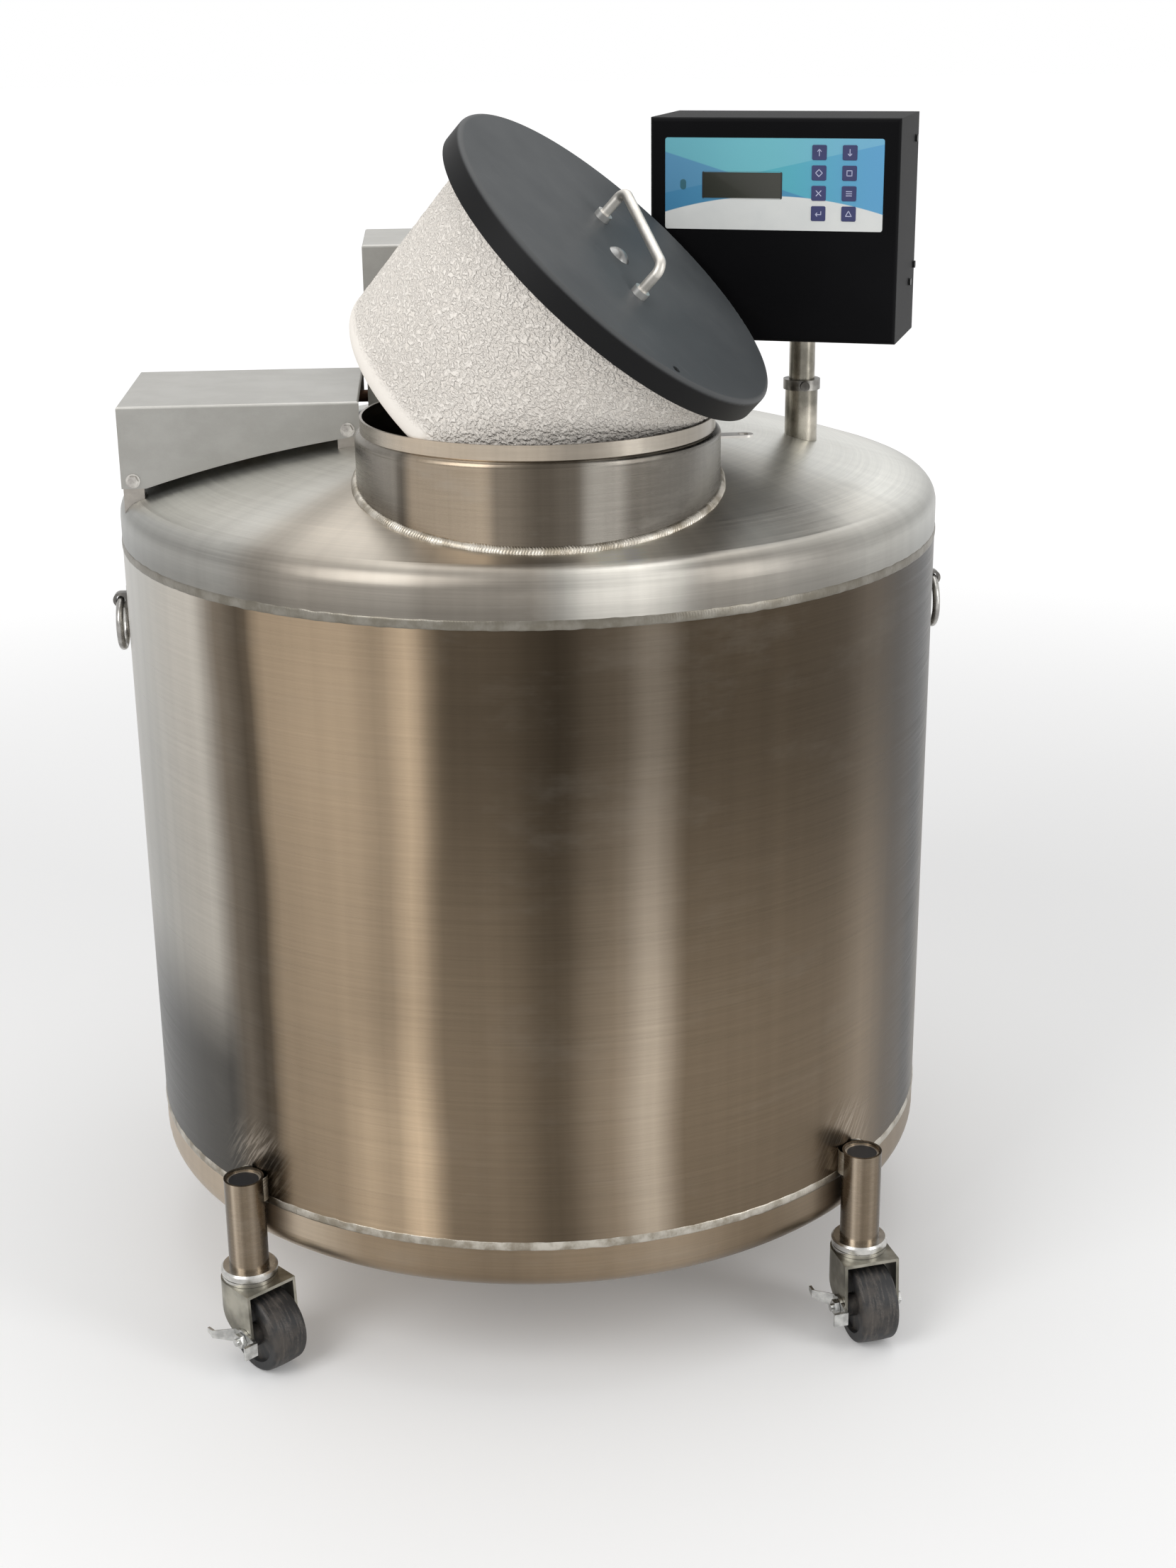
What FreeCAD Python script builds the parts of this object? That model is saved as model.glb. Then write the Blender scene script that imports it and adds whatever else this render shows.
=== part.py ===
import FreeCAD, Part
import math
import os

# Liquid nitrogen freezer: a double-walled stainless vessel on four casters, with an offset neck,
# a tapered foam plug lid tilted in the neck, a controller on a post and sheet-metal plumbing covers.
# Millimetres, +Z up, front towards -Y, origin on the vessel's axis at floor level.

# Outer vessel
shell_r = 533.4
shell_wall = 3.4
shell_bottom = 217.0
shell_top = 1005.0
head_wall = 4.0
head_flange = 35.6
head_knuckle = 31.4
head_crown = 1611.0
bead_width = 11.6
bead_proud = 1.2
bead_facets = 8

# Neck, offset towards the front
neck_inset = 262.4
neck_r = 212.0
neck_wall = 3.0
neck_rise = 42.9
neck_ring_height = 17.3
collar_step = 6.5
collar_wall = 3.0
collar_shoulder = 10.2
neck_hole_gap = 1.5
neck_weld_size = 6.5

# Inner vessel and its support
vacuum_gap = 35.4
inner_wall = 3.0
inner_lift = 83.0
inner_drop = 20.0
inner_flange = 15.0
inner_knuckle = 25.0
inner_crown = 1400.0
wrap_gap = 1.0
wrap_thickness = 12.0
wrap_margin = 20.0
support_r = 60.0
support_wall = 8.0

# Rack carousel inside the inner vessel
stand_r = 120.0
stand_wall = 4.0
pin_r = 15.0
pin_height = 40.0
pin_fit = 0.06
tray_gap = 0.3
tray_margin = 28.0
tray_floor = 3.0
tray_rim_height = 80.0
tray_rim_wall = 2.0
tray_post_r = 30.0
tray_post_height = 400.0
divider_height = 250.0
divider_thickness = 3.0
drain_r = 14.0
drain_rings = (0.298, 0.596, 0.851)
drain_pitch = 110.0

# Legs
leg_r = 25.4
leg_wall = 3.0
leg_rise = 38.7
leg_weld_size = 7.0
leg_weld_bulge = 2.2
cap_depth = 4.0
cap_thickness = 5.0
cap_gap = 0.2

# Casters: race under the leg, fork, wheel and axle
race_r = 36.3
race_height = 9.0
groove_depth = 2.8
race_groove = 2.0
race_step = 0.7
race_lower_height = 5.0
race_round = 2.5
kingpin_r = 8.0
kingpin_head_r = 13.0
kingpin_head = 4.0
swivel_gap = 0.3
swivel_fit = 0.06
fork_half = 37.5
fork_wall = 4.0
fork_front = 45.0
fork_skirt = 22.0
skirt_hollow = 0.28
boss_start = 225.0
trail = 34.0
boss_r = 15.0
wheel_r = 50.8
wheel_clear = 9.1
wheel_half = 25.0
wheel_round = 5.0
hub_r = 15.0
hub_gap = 0.4
dish_r = 35.0
dish_depth = 6.0
axle_r = 6.0
axle_fit = 0.06
axle_head_r = 10.0
axle_head = 6.5

# Brake levers of the front casters
lever_gap = 0.4
lever_thickness = 3.5
lever_hub_r = 13.0
lever_height = 20.0
pedal_back = 30.0
pedal_out = 24.0
pedal_tip = 12.0
tab_front = 24.0
tab_width = 19.0
tab_height = 22.0

# Each caster: name, side in X, side in Y, the way its wheel trails, and whether it has a brake
casters = (
    ("front_left", -1, -1, -50.0, True),
    ("front_right", 1, -1, -78.0, True),
    ("back_left", -1, 1, -62.0, False),
    ("back_right", 1, 1, -70.0, False),
)

# Lifting rings on the shell's left and right
lift_drop = 94.0
lift_pad_width = 40.0
lift_pad_height = 46.0
lift_pad_wall = 3.0
lift_eye_r = 6.5
lift_strap_wall = 3.5
lift_strap_width = 14.0
ring_r = 32.0
ring_wire = 5.0

# Lid: cover pan, foam plug, handle, bolt and lock hole, in the lid's own frame
lid_tilt = 42.55
lid_turn = -21.24
lid_gap = 0.3
cover_overhang = 21.3
cover_height = 30.0
cover_wall = 2.5
cover_round = 6.0
cover_lip = 1.2
foam_gap = 0.3
plug_gap = 8.1
plug_taper = 7.8
plug_length = 242.5
plug_round = 25.0
lock_hole_r = 5.0
lock_hole_inset = 15.3
lock_hole_turn = -46.3
handle_span = 158.0
handle_turn = -47.6
handle_height = 43.0
handle_wire = 6.2
handle_bend = 13.0
foot_r = 10.0
foot_height = 8.0
bolt_r = 14.0
bolt_height = 7.0
bolt_shank_r = 5.0
bolt_shank = 30.0

# Lock tab on the neck collar
tab_drop = 38.0
tab_reach = 43.0
tab_plate = 3.0
tab_half = 11.0
tab_hole_r = 6.0
tab_turn = 3.0

# Controller post and box
post_side = 137.5
post_back = 238.0
post_r = 16.7
post_wall = 2.8
post_fit = 0.06
post_insert = 47.0
socket_wall = 4.4
socket_rise = 23.1
clamp_wall = 2.9
clamp_height = 13.0
clamp_screw_r = 3.5
clamp_screw_head_r = 6.0
clamp_screw_out = 6.0
plate_margin = 17.3
plate_thickness = 4.0
box_turn = -19.62
box_width = 312.0
box_depth = 157.0
box_height = 271.0
box_wall = 1.5
box_rise = 72.3
box_side_shift = 24.7
box_front_shift = 88.4
box_bend = 5.0
back_flange = 50.0
back_gap = 0.2
overlay_width = 273.0
overlay_height = 110.0
overlay_drop = 79.0
overlay_thickness = 0.8
overlay_corner = 3.0
window_width = 99.0
window_height = 31.0
window_x = -39.0
window_drop = 1.5
key_size = 17.5
key_rise = 0.5
key_columns = (57.0, 94.6)
key_lift = 38.5
key_pitch = 24.2
key_rows = 4
screw_r = 4.6
screw_head = 2.6
lower_screws = ((43.0, 64.0), (7.0, 82.0))
upper_screw = (26.0, 31.0)
board_width = 220.0
board_height = 120.0
board_thickness = 1.6
board_stand = 18.0
board_stand_r = 4.0

# Low plumbing cover and tall riser cover on the dome
sheet = 2.0
cover_inset = 16.9
cover_overlap = 2.0
cover_ahead = 141.0
cover_depth = 272.0
cover_rise = 35.1
cover_skirt = 103.0
cover_lift = 12.0
riser_gap = 7.0
riser_width = 200.0
riser_setback = 186.0
riser_depth = 207.0
riser_rise = 206.1
riser_lift = 4.0
slot_height = 40.0
slot_width = 60.0
bracket_width = 26.0
bracket_foot = 24.0
bracket_rise = 30.0
cover_screw_r = 3.0
cover_screw_gap = 0.2
cover_screw_head_r = 7.0
cover_screw_head = 4.5
washer_r = 9.0
washer_thickness = 1.2
cover_screw_length = 12.0
screw_up = 10.0

# Fill line under the covers
pipe_r = 8.0
pipe_wall = 1.2
pipe_lift = 10.7
pipe_inset = 47.0
pipe_bend = 24.0
pipe_across = 99.5
pipe_run = 65.0
pipe_headroom = 60.0
inlet_inset = 46.5
inlet_r = 11.1
inlet_out = 24.0
inlet_hex_r = 15.0
inlet_hex = 10.0
valve_insets = (173.5, 83.5)
valve_size = 40.0
valve_height = 22.0
coil_r = 16.0
coil_height = 14.0
relief_r = 9.0
relief_height = 24.0

# How far pieces reach under the dome before it trims them
trim_depth = 30.0

UP = FreeCAD.Vector(0, 0, 1)
ORIGIN = FreeCAD.Vector(0, 0, 0)
os.makedirs("parts", exist_ok=True)


def vec(x, y, z):
    return FreeCAD.Vector(x, y, z)


def line(a, b):
    return Part.LineSegment(a, b).toShape()


def arc(a, through, b):
    return Part.Arc(a, through, b).toShape()


def spun(edges, x=0.0, y=0.0):
    """Turn a closed outline in the XZ plane about the upright axis at x, y."""
    face = Part.Face(Part.Wire(edges))
    solid = face.revolve(ORIGIN, UP, 360)
    solid.translate(vec(x, y, 0))
    return solid


def spun_polygon(points, x=0.0, y=0.0):
    """Turn a closed outline of radius and height pairs about the upright axis at x, y."""
    corners = [vec(r, 0, z) for r, z in points]
    corners.append(corners[0])
    return spun(Part.makePolygon(corners).Edges, x, y)


def cylinder(r, low, high, x=0.0, y=0.0):
    return Part.makeCylinder(r, high - low, vec(x, y, low), UP)


def ring(r_out, r_in, low, high, x=0.0, y=0.0):
    return cylinder(r_out, low, high, x, y).cut(cylinder(r_in, low, high, x, y))


def block(x0, x1, y0, y1, z0, z1):
    return Part.makeBox(x1 - x0, y1 - y0, z1 - z0, vec(x0, y0, z0))


def prism(points, y0, y1):
    """Push an outline of x, z pairs along Y."""
    corners = [vec(x, y0, z) for x, z in points]
    corners.append(corners[0])
    face = Part.Face(Part.makePolygon(corners))
    return face.extrude(vec(0, y1 - y0, 0))


def plate(points, z0, z1):
    """Push an outline of x, y pairs along Z."""
    corners = [vec(x, y, z0) for x, y in points]
    corners.append(corners[0])
    face = Part.Face(Part.makePolygon(corners))
    return face.extrude(vec(0, 0, z1 - z0))


def hexagon(r, low, high):
    """Hexagonal head whose corners lie on radius r about the Z axis."""
    corners = [(r * math.cos(math.pi * k / 3), r * math.sin(math.pi * k / 3)) for k in range(6)]
    return plate(corners, low, high)


def save(name, *shapes):
    """Write one node; more than one shape means a group of separate solids."""
    shape = shapes[0] if len(shapes) == 1 else Part.makeCompound(list(shapes))
    shape.exportStep("parts/" + name + ".step")


# Dished heads

def head_edges(r, seam, flange, knuckle, crown, side):
    """Outline of a head's skin from its seam to its crown; side is 1 for a top head, -1 for a bottom one."""
    flat = r - knuckle
    drop = math.sqrt((crown - knuckle) ** 2 - flat ** 2)
    middle = seam + side * (flange - drop)
    lean = math.asin(flat / (crown - knuckle))
    turn = seam + side * flange

    def on_knuckle(angle):
        return vec(flat + knuckle * math.sin(angle), 0, turn + side * knuckle * math.cos(angle))

    def on_crown(angle):
        return vec(crown * math.sin(angle), 0, middle + side * crown * math.cos(angle))

    start = vec(r, 0, seam)
    bend = vec(r, 0, turn)
    tangent = on_knuckle(lean)
    apex = on_crown(0)
    edges = [
        line(start, bend),
        arc(bend, on_knuckle((lean + math.pi / 2) / 2), tangent),
        arc(tangent, on_crown(lean / 2), apex),
    ]
    return edges, start, apex


def head_solid(r, seam, flange, knuckle, crown, side):
    """Everything under a head's skin, down to its seam."""
    edges, start, apex = head_edges(r, seam, flange, knuckle, crown, side)
    foot = vec(0, 0, seam)
    return spun(edges + [line(apex, foot), line(foot, start)])


def head_shell(r, seam, flange, knuckle, crown, side, wall):
    outer = head_solid(r, seam, flange, knuckle, crown, side)
    inner = head_solid(r - wall, seam, flange, knuckle - wall, crown - wall, side)
    return outer.cut(inner)


def outer_head(grow, side):
    """The outer vessel's head grown evenly by some amount, as a solid."""
    seam = shell_top if side > 0 else shell_bottom
    return head_solid(shell_r + grow, seam, head_flange, head_knuckle + grow, head_crown + grow, side)


def inner_head(grow, side):
    seam = inner_top if side > 0 else inner_bottom
    return head_solid(inner_r + grow, seam, inner_flange, inner_knuckle + grow, inner_crown + grow, side)


def dome_height(x, y):
    """Height of the top head's skin over a point inside its knuckle."""
    flat = shell_r - head_knuckle
    middle = shell_top + head_flange - math.sqrt((head_crown - head_knuckle) ** 2 - flat ** 2)
    return middle + math.sqrt(head_crown ** 2 - x ** 2 - y ** 2)


# Sizes and places that follow from the named ones

neck_offset = shell_r - neck_inset
collar_r = neck_r + collar_step
dome_top = dome_height(0, 0)
neck_rim = dome_top + neck_rise

inner_r = shell_r - vacuum_gap
inner_bottom = shell_bottom + inner_lift
inner_top = shell_top - inner_drop
stand_top = inner_bottom
tray_r = inner_r - tray_margin

leg_radius = shell_r + bead_proud + leg_r
leg_top = shell_bottom + leg_rise
fork_under = 2 * wheel_r + wheel_clear
fork_top = fork_under + fork_wall
race_top = fork_top + swivel_gap + race_lower_height + race_groove + race_height
race_groove_r = race_r - groove_depth
race_lower_r = race_r - race_step

lift_height = shell_top - lift_drop
eye_x = shell_r + lift_pad_wall + lift_eye_r + lift_strap_wall

plug_top_r = neck_r - plug_gap
plug_bottom_r = plug_top_r - plug_taper
cover_r = neck_r + cover_overhang
lock_hole_at = cover_r - lock_hole_inset

post_x = collar_r + post_side
post_y = post_back - neck_offset
socket_r = post_r + socket_wall
socket_top = dome_top + socket_rise
clamp_r = socket_r + clamp_wall
plate_r = post_r + plate_margin
post_foot = socket_top - post_insert
box_bottom = socket_top + box_rise
overlay_middle = box_height - overlay_drop
window_middle = overlay_middle - window_drop
key_top = overlay_middle + key_lift

cover_left = cover_inset - shell_r
cover_right = cover_overlap - collar_r
cover_front = cover_ahead - neck_offset
cover_back = cover_front + cover_depth
cover_top = dome_top + cover_rise
cover_bottom = cover_top - cover_skirt
riser_left = cover_right + riser_gap
riser_right = riser_left + riser_width
riser_front = cover_front + riser_setback
riser_back = riser_front + riser_depth
riser_top = dome_top + riser_rise

pipe_y = cover_back - pipe_inset
pipe_rise_x = riser_left + pipe_across
pipe_rise_y = pipe_y + pipe_run
pipe_z = dome_height(pipe_rise_x, pipe_y) + pipe_lift
inlet_x = cover_left + inlet_inset


# Vessel

def make_vessel():
    neck_y = -neck_offset
    save("outer_shell", ring(shell_r, shell_r - shell_wall, shell_bottom, shell_top))
    top = head_shell(shell_r, shell_top, head_flange, head_knuckle, head_crown, 1, head_wall)
    hole = cylinder(neck_r + neck_hole_gap, shell_top, neck_rim, 0, neck_y)
    save("top_head", top.cut(hole))
    bottom = head_shell(shell_r, shell_bottom, head_flange, head_knuckle, head_crown, -1, head_wall)
    save("bottom_head", bottom)

    shoulder_top = neck_rim - neck_ring_height
    shoulder_low = shoulder_top - collar_shoulder
    inside = collar_r - collar_wall
    collar = spun([
        line(vec(collar_r, 0, shell_top), vec(collar_r, 0, shoulder_low)),
        arc(vec(collar_r, 0, shoulder_low),
            vec(neck_r + 0.75 * (collar_r - neck_r), 0, shoulder_low + 0.72 * collar_shoulder),
            vec(neck_r, 0, shoulder_top)),
        line(vec(neck_r, 0, shoulder_top), vec(neck_r, 0, shoulder_top - collar_wall)),
        line(vec(neck_r, 0, shoulder_top - collar_wall), vec(inside, 0, shoulder_low)),
        line(vec(inside, 0, shoulder_low), vec(inside, 0, shell_top)),
        line(vec(inside, 0, shell_top), vec(collar_r, 0, shell_top)),
    ], 0, neck_y)
    save("neck_collar", collar.cut(outer_head(0, 1)))

    tube = ring(neck_r, neck_r - neck_wall, inner_top, neck_rim, 0, neck_y)
    save("neck_tube", tube.cut(inner_head(0, 1)))

    base = ring(collar_r + neck_weld_size, collar_r, shell_top, neck_rim, 0, neck_y)
    base = base.common(outer_head(neck_weld_size, 1)).cut(outer_head(0, 1))
    beads = [base]
    for seam in (shell_top, shell_bottom):
        outline = []
        for k in range(bead_facets + 1):
            across = 2 * k / bead_facets - 1
            outline.append((shell_r + bead_proud * (1 - across ** 2), seam + across * bead_width / 2))
        beads.append(spun_polygon(outline))
    save("weld_beads", *beads)


def make_inner_vessel():
    neck_y = -neck_offset
    skin = inner_head(0, 1).fuse(inner_head(0, -1)).fuse(cylinder(inner_r, inner_bottom, inner_top))
    core = inner_head(-inner_wall, 1).fuse(inner_head(-inner_wall, -1))
    core = core.fuse(cylinder(inner_r - inner_wall, inner_bottom, inner_top))
    vessel = skin.cut(core).removeSplitter()
    vessel = vessel.cut(cylinder(neck_r - neck_wall, inner_top, neck_rim, 0, neck_y))
    save("inner_vessel", vessel)

    wrap_in = inner_r + wrap_gap
    wrap = ring(wrap_in + wrap_thickness, wrap_in, inner_bottom + wrap_margin, inner_top - wrap_margin)
    save("insulation_wrap", wrap)

    low = shell_bottom - head_flange - head_crown
    support = ring(support_r, support_r - support_wall, low, inner_bottom)
    support = support.common(outer_head(-head_wall, -1)).cut(inner_head(0, -1))
    save("inner_support", support)


def make_carousel():
    low = inner_bottom - inner_crown
    stand = ring(stand_r, stand_r - stand_wall, low, stand_top)
    stand = stand.common(inner_head(-inner_wall, -1))
    stand = stand.fuse(cylinder(stand_r, stand_top - stand_wall, stand_top))
    stand = stand.fuse(cylinder(pin_r, stand_top, stand_top + pin_height)).removeSplitter()
    save("carousel_stand", stand)

    floor = stand_top + tray_gap
    top = floor + tray_floor
    tray = cylinder(tray_r, floor, top)
    tray = tray.fuse(ring(tray_r, tray_r - tray_rim_wall, floor, floor + tray_rim_height))
    tray = tray.fuse(cylinder(tray_post_r, floor, floor + tray_post_height))
    for turn in (45, 135):
        reach = tray_r - tray_rim_wall
        wall = block(-reach, reach, -divider_thickness / 2, divider_thickness / 2, top, top + divider_height)
        wall.rotate(ORIGIN, UP, turn)
        tray = tray.fuse(wall)
    holes = []
    for share in drain_rings:
        radius = share * tray_r
        count = 8 * max(1, round(math.pi * radius / (4 * drain_pitch)))
        for k in range(count):
            angle = 2 * math.pi * (k + 0.5) / count
            holes.append(cylinder(drain_r, floor, top, radius * math.cos(angle), radius * math.sin(angle)))
    tray = tray.removeSplitter().cut(Part.makeCompound(holes))
    tray = tray.cut(cylinder(pin_r + pin_fit, floor, stand_top + pin_height + tray_gap))
    save("carousel_tray", tray)


# Legs and casters

def leg_place(side_x, side_y):
    along = leg_radius / math.sqrt(2)
    return side_x * along, side_y * along


def make_leg_weld(x, y, side):
    """Bead in the groove between a leg tube and the shell, on one side of the tube."""
    turn = math.degrees(math.atan2(y, x))
    low = shell_bottom + bead_width / 2
    back = shell_r - 1
    front = leg_radius - leg_r * 0.45
    foot = side * (leg_weld_size + 9)
    tube = side * leg_r
    corners = (vec(back, side * 2, low), vec(back, foot, low), vec(front, tube, low), vec(front, side * 2, low))
    crest = vec((back + front) / 2, (foot + tube) / 2 + side * leg_weld_bulge, low)
    outline = Part.Wire([
        line(corners[0], corners[1]),
        arc(corners[1], crest, corners[2]),
        line(corners[2], corners[3]),
        line(corners[3], corners[0]),
    ])
    bead = Part.Face(outline).extrude(vec(0, 0, leg_top - low))
    bead.rotate(ORIGIN, UP, turn)
    bead = bead.cut(cylinder(leg_r, shell_bottom, leg_top, x, y))
    return bead.cut(cylinder(shell_r, shell_bottom, leg_top))


def make_legs():
    welds = []
    caps = []
    for name, side_x, side_y, _, _ in casters:
        x, y = leg_place(side_x, side_y)
        save("leg_" + name, ring(leg_r, leg_r - leg_wall, race_top, leg_top, x, y))
        for side in (-1, 1):
            welds.append(make_leg_weld(x, y, side))
        cap_top = leg_top - cap_depth
        caps.append(cylinder(leg_r - leg_wall - cap_gap, cap_top - cap_thickness, cap_top, x, y))
    save("leg_welds", *welds)
    save("leg_caps", *caps)


def make_race():
    """Race plate, ball groove and riveted kingpin, on the swivel's axis."""
    groove_top = race_top - race_height
    groove_low = groove_top - race_groove
    low = groove_low - race_lower_height
    head_top = fork_under - swivel_gap
    return spun_polygon((
        (0, race_top),
        (race_r - race_round, race_top),
        (race_r, race_top - race_round),
        (race_r, groove_top),
        (race_groove_r, groove_top),
        (race_groove_r, groove_low),
        (race_lower_r, groove_low),
        (race_lower_r, low),
        (kingpin_r, low),
        (kingpin_r, head_top),
        (kingpin_head_r, head_top),
        (kingpin_head_r - 1, head_top - kingpin_head),
        (0, head_top - kingpin_head),
    ))


def fork_plan(inset, front, low, high):
    """Round-backed plan of the fork, made smaller by the inset on its back and sides."""
    half = fork_half - inset
    outline = [
        line(vec(front, -half, low), vec(front, half, low)),
        line(vec(front, half, low), vec(0, half, low)),
        arc(vec(0, half, low), vec(-half, 0, low), vec(0, -half, low)),
        line(vec(0, -half, low), vec(front, -half, low)),
    ]
    return Part.Face(Part.Wire(outline)).extrude(vec(0, 0, high - low))


def make_fork():
    """Stamped fork: top plate, and a skirt that narrows to the two axle bosses."""
    low = wheel_r - boss_r
    front = trail + boss_r
    skirt = fork_plan(0, front, low, fork_top).cut(fork_plan(fork_wall, 2 * front, low, fork_under))
    back = -fork_half - 1
    skirt_low = fork_top - fork_skirt
    boss = math.radians(boss_start)
    boss_edge = vec(trail + boss_r * math.cos(boss), 0, wheel_r + boss_r * math.sin(boss))
    side = Part.Face(Part.Wire([
        line(vec(back, 0, fork_top), vec(back, 0, skirt_low)),
        line(vec(back, 0, skirt_low), vec(-fork_half, 0, skirt_low)),
        arc(vec(-fork_half, 0, skirt_low), vec(-fork_half * skirt_hollow, 0, wheel_r + boss_r), boss_edge),
        arc(boss_edge, vec(trail, 0, low), vec(front, 0, wheel_r)),
        line(vec(front, 0, wheel_r), vec(fork_front, 0, fork_top)),
        line(vec(fork_front, 0, fork_top), vec(back, 0, fork_top)),
    ])).extrude(vec(0, 2 * fork_half, 0))
    side.translate(vec(0, -fork_half, 0))
    fork = skirt.common(side)
    fork = fork.cut(cylinder(kingpin_r + swivel_fit, fork_under, fork_top))
    return fork.cut(axle_bar(axle_r, fork_half)).removeSplitter()


def axle_bar(r, half):
    """Round bar along the axle, reaching half to each side."""
    return Part.makeCylinder(r, 2 * half, vec(trail, -half, wheel_r), vec(0, 1, 0))


def make_wheel():
    """Solid wheel with rounded tread corners, dished sides and a bored hub."""
    half_hub = fork_half - fork_wall - hub_gap
    bore = axle_r + axle_fit
    crown = 0.8
    edge = wheel_r - crown

    def at(r, w):
        return vec(r, 0, w)

    corner = wheel_round * (1 - math.sqrt(0.5))
    outline = [
        line(at(bore, -half_hub), at(hub_r, -half_hub)),
        line(at(hub_r, -half_hub), at(hub_r, -wheel_half + dish_depth)),
        line(at(hub_r, -wheel_half + dish_depth), at(dish_r, -wheel_half + dish_depth)),
        line(at(dish_r, -wheel_half + dish_depth), at(dish_r + 2, -wheel_half)),
        line(at(dish_r + 2, -wheel_half), at(edge - wheel_round, -wheel_half)),
        arc(at(edge - wheel_round, -wheel_half), at(edge - corner, -wheel_half + corner),
            at(edge, -wheel_half + wheel_round)),
        arc(at(edge, -wheel_half + wheel_round), at(wheel_r, 0), at(edge, wheel_half - wheel_round)),
        arc(at(edge, wheel_half - wheel_round), at(edge - corner, wheel_half - corner),
            at(edge - wheel_round, wheel_half)),
        line(at(edge - wheel_round, wheel_half), at(dish_r + 2, wheel_half)),
        line(at(dish_r + 2, wheel_half), at(dish_r, wheel_half - dish_depth)),
        line(at(dish_r, wheel_half - dish_depth), at(hub_r, wheel_half - dish_depth)),
        line(at(hub_r, wheel_half - dish_depth), at(hub_r, half_hub)),
        line(at(hub_r, half_hub), at(bore, half_hub)),
        line(at(bore, half_hub), at(bore, -half_hub)),
    ]
    wheel = spun(outline)
    wheel.rotate(ORIGIN, vec(1, 0, 0), -90)
    wheel.translate(vec(trail, 0, wheel_r))
    return wheel


def make_axle(braked):
    """Axle bolt with its hex head and nut; a braked caster's bolt also carries the lever."""
    left = fork_half + (lever_gap + lever_thickness + lever_gap if braked else 0)
    right = fork_half
    axle = Part.makeCylinder(axle_r, left + right, vec(trail, -left, wheel_r), vec(0, 1, 0))
    for end, start in ((-1, -left - axle_head), (1, right)):
        head = hexagon(axle_head_r, 0, axle_head)
        head.rotate(ORIGIN, vec(1, 0, 0), -90)
        head.translate(vec(trail, start, wheel_r))
        axle = axle.fuse(head)
    tip = Part.makeCylinder(axle_r - 1, 4, vec(trail, -left - axle_head - 4, wheel_r), vec(0, 1, 0))
    return axle.fuse(tip).removeSplitter()


def make_lever():
    """Brake lever: a stamped rocker on the axle bolt, with a foot pedal behind and a release tab in front."""
    near = -(fork_half + lever_gap)
    far = near - lever_thickness
    half = lever_height / 2
    web = plate((
        (trail + tab_front, near),
        (trail - lever_hub_r, near),
        (trail - pedal_back, near - pedal_out),
        (trail - pedal_back - pedal_tip, near - pedal_out),
        (trail - pedal_back - pedal_tip, far - pedal_out),
        (trail - pedal_back - 1.5, far - pedal_out),
        (trail - lever_hub_r - 1.5, far),
        (trail + tab_front, far),
    ), wheel_r - half, wheel_r + half)
    hub = Part.makeCylinder(lever_hub_r, lever_thickness, vec(trail, far, wheel_r), vec(0, 1, 0))
    tab = block(trail + tab_front, trail + tab_front + lever_thickness, near - tab_width, near,
                wheel_r - tab_height + half, wheel_r + half)
    trim = prism((
        (trail - pedal_back - pedal_tip, wheel_r + 4),
        (trail - lever_hub_r, wheel_r - half),
        (trail + tab_front + lever_thickness, wheel_r - tab_height + half),
        (trail + tab_front + lever_thickness, wheel_r + half - 4),
        (trail, wheel_r + lever_hub_r),
        (trail - pedal_back - pedal_tip, wheel_r + half),
    ), far - pedal_out - 1, near + 1)
    lever = web.fuse(tab).common(trim).fuse(hub)
    lever = lever.cut(Part.makeCylinder(axle_r + axle_fit, 2 * pedal_out, vec(trail, far - pedal_out, wheel_r),
                                        vec(0, 1, 0)))
    return lever.removeSplitter()


def make_casters():
    for name, side_x, side_y, turn, braked in casters:
        x, y = leg_place(side_x, side_y)

        def placed(shape):
            shape.rotate(ORIGIN, UP, turn)
            shape.translate(vec(x, y, 0))
            return shape

        save("caster_race_" + name, placed(make_race()))
        save("caster_fork_" + name, placed(make_fork()))
        save("caster_wheel_" + name, placed(make_wheel()))
        save("caster_axle_" + name, placed(make_axle(braked)))
        if braked:
            save("brake_lever_" + name, placed(make_lever()))


# Lifting brackets and rings

def make_lifting():
    brackets = []
    for name, turn in (("right", 0), ("left", 180)):
        reach = lift_eye_r + lift_strap_wall
        half = lift_strap_width / 2
        pad_low = lift_height - lift_pad_height / 2
        pad = ring(shell_r + lift_pad_wall, shell_r, pad_low, pad_low + lift_pad_height)
        pad = pad.common(block(0, 2 * shell_r, -lift_pad_width / 2, lift_pad_width / 2, 0, 2 * lift_height))
        strap = block(shell_r, eye_x, -half, half, lift_height - reach, lift_height + reach)
        nose = Part.makeCylinder(reach, lift_strap_width, vec(eye_x, -half, lift_height), vec(0, 1, 0))
        eye = Part.makeCylinder(lift_eye_r, lift_strap_width, vec(eye_x, -half, lift_height), vec(0, 1, 0))
        skin = cylinder(shell_r, 0, 2 * lift_height)
        bracket = pad.fuse(strap).fuse(nose).cut(eye).cut(skin).removeSplitter()
        bracket.rotate(ORIGIN, UP, turn)
        brackets.append(bracket)
        hoop = Part.makeTorus(ring_r, ring_wire, vec(eye_x, 0, lift_height - ring_r), vec(1, 0, 0))
        hoop.rotate(ORIGIN, UP, turn)
        save("lift_ring_" + name, hoop)
    save("lift_brackets", *brackets)


# Lid, built about its own axis with its underside at height 0

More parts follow.
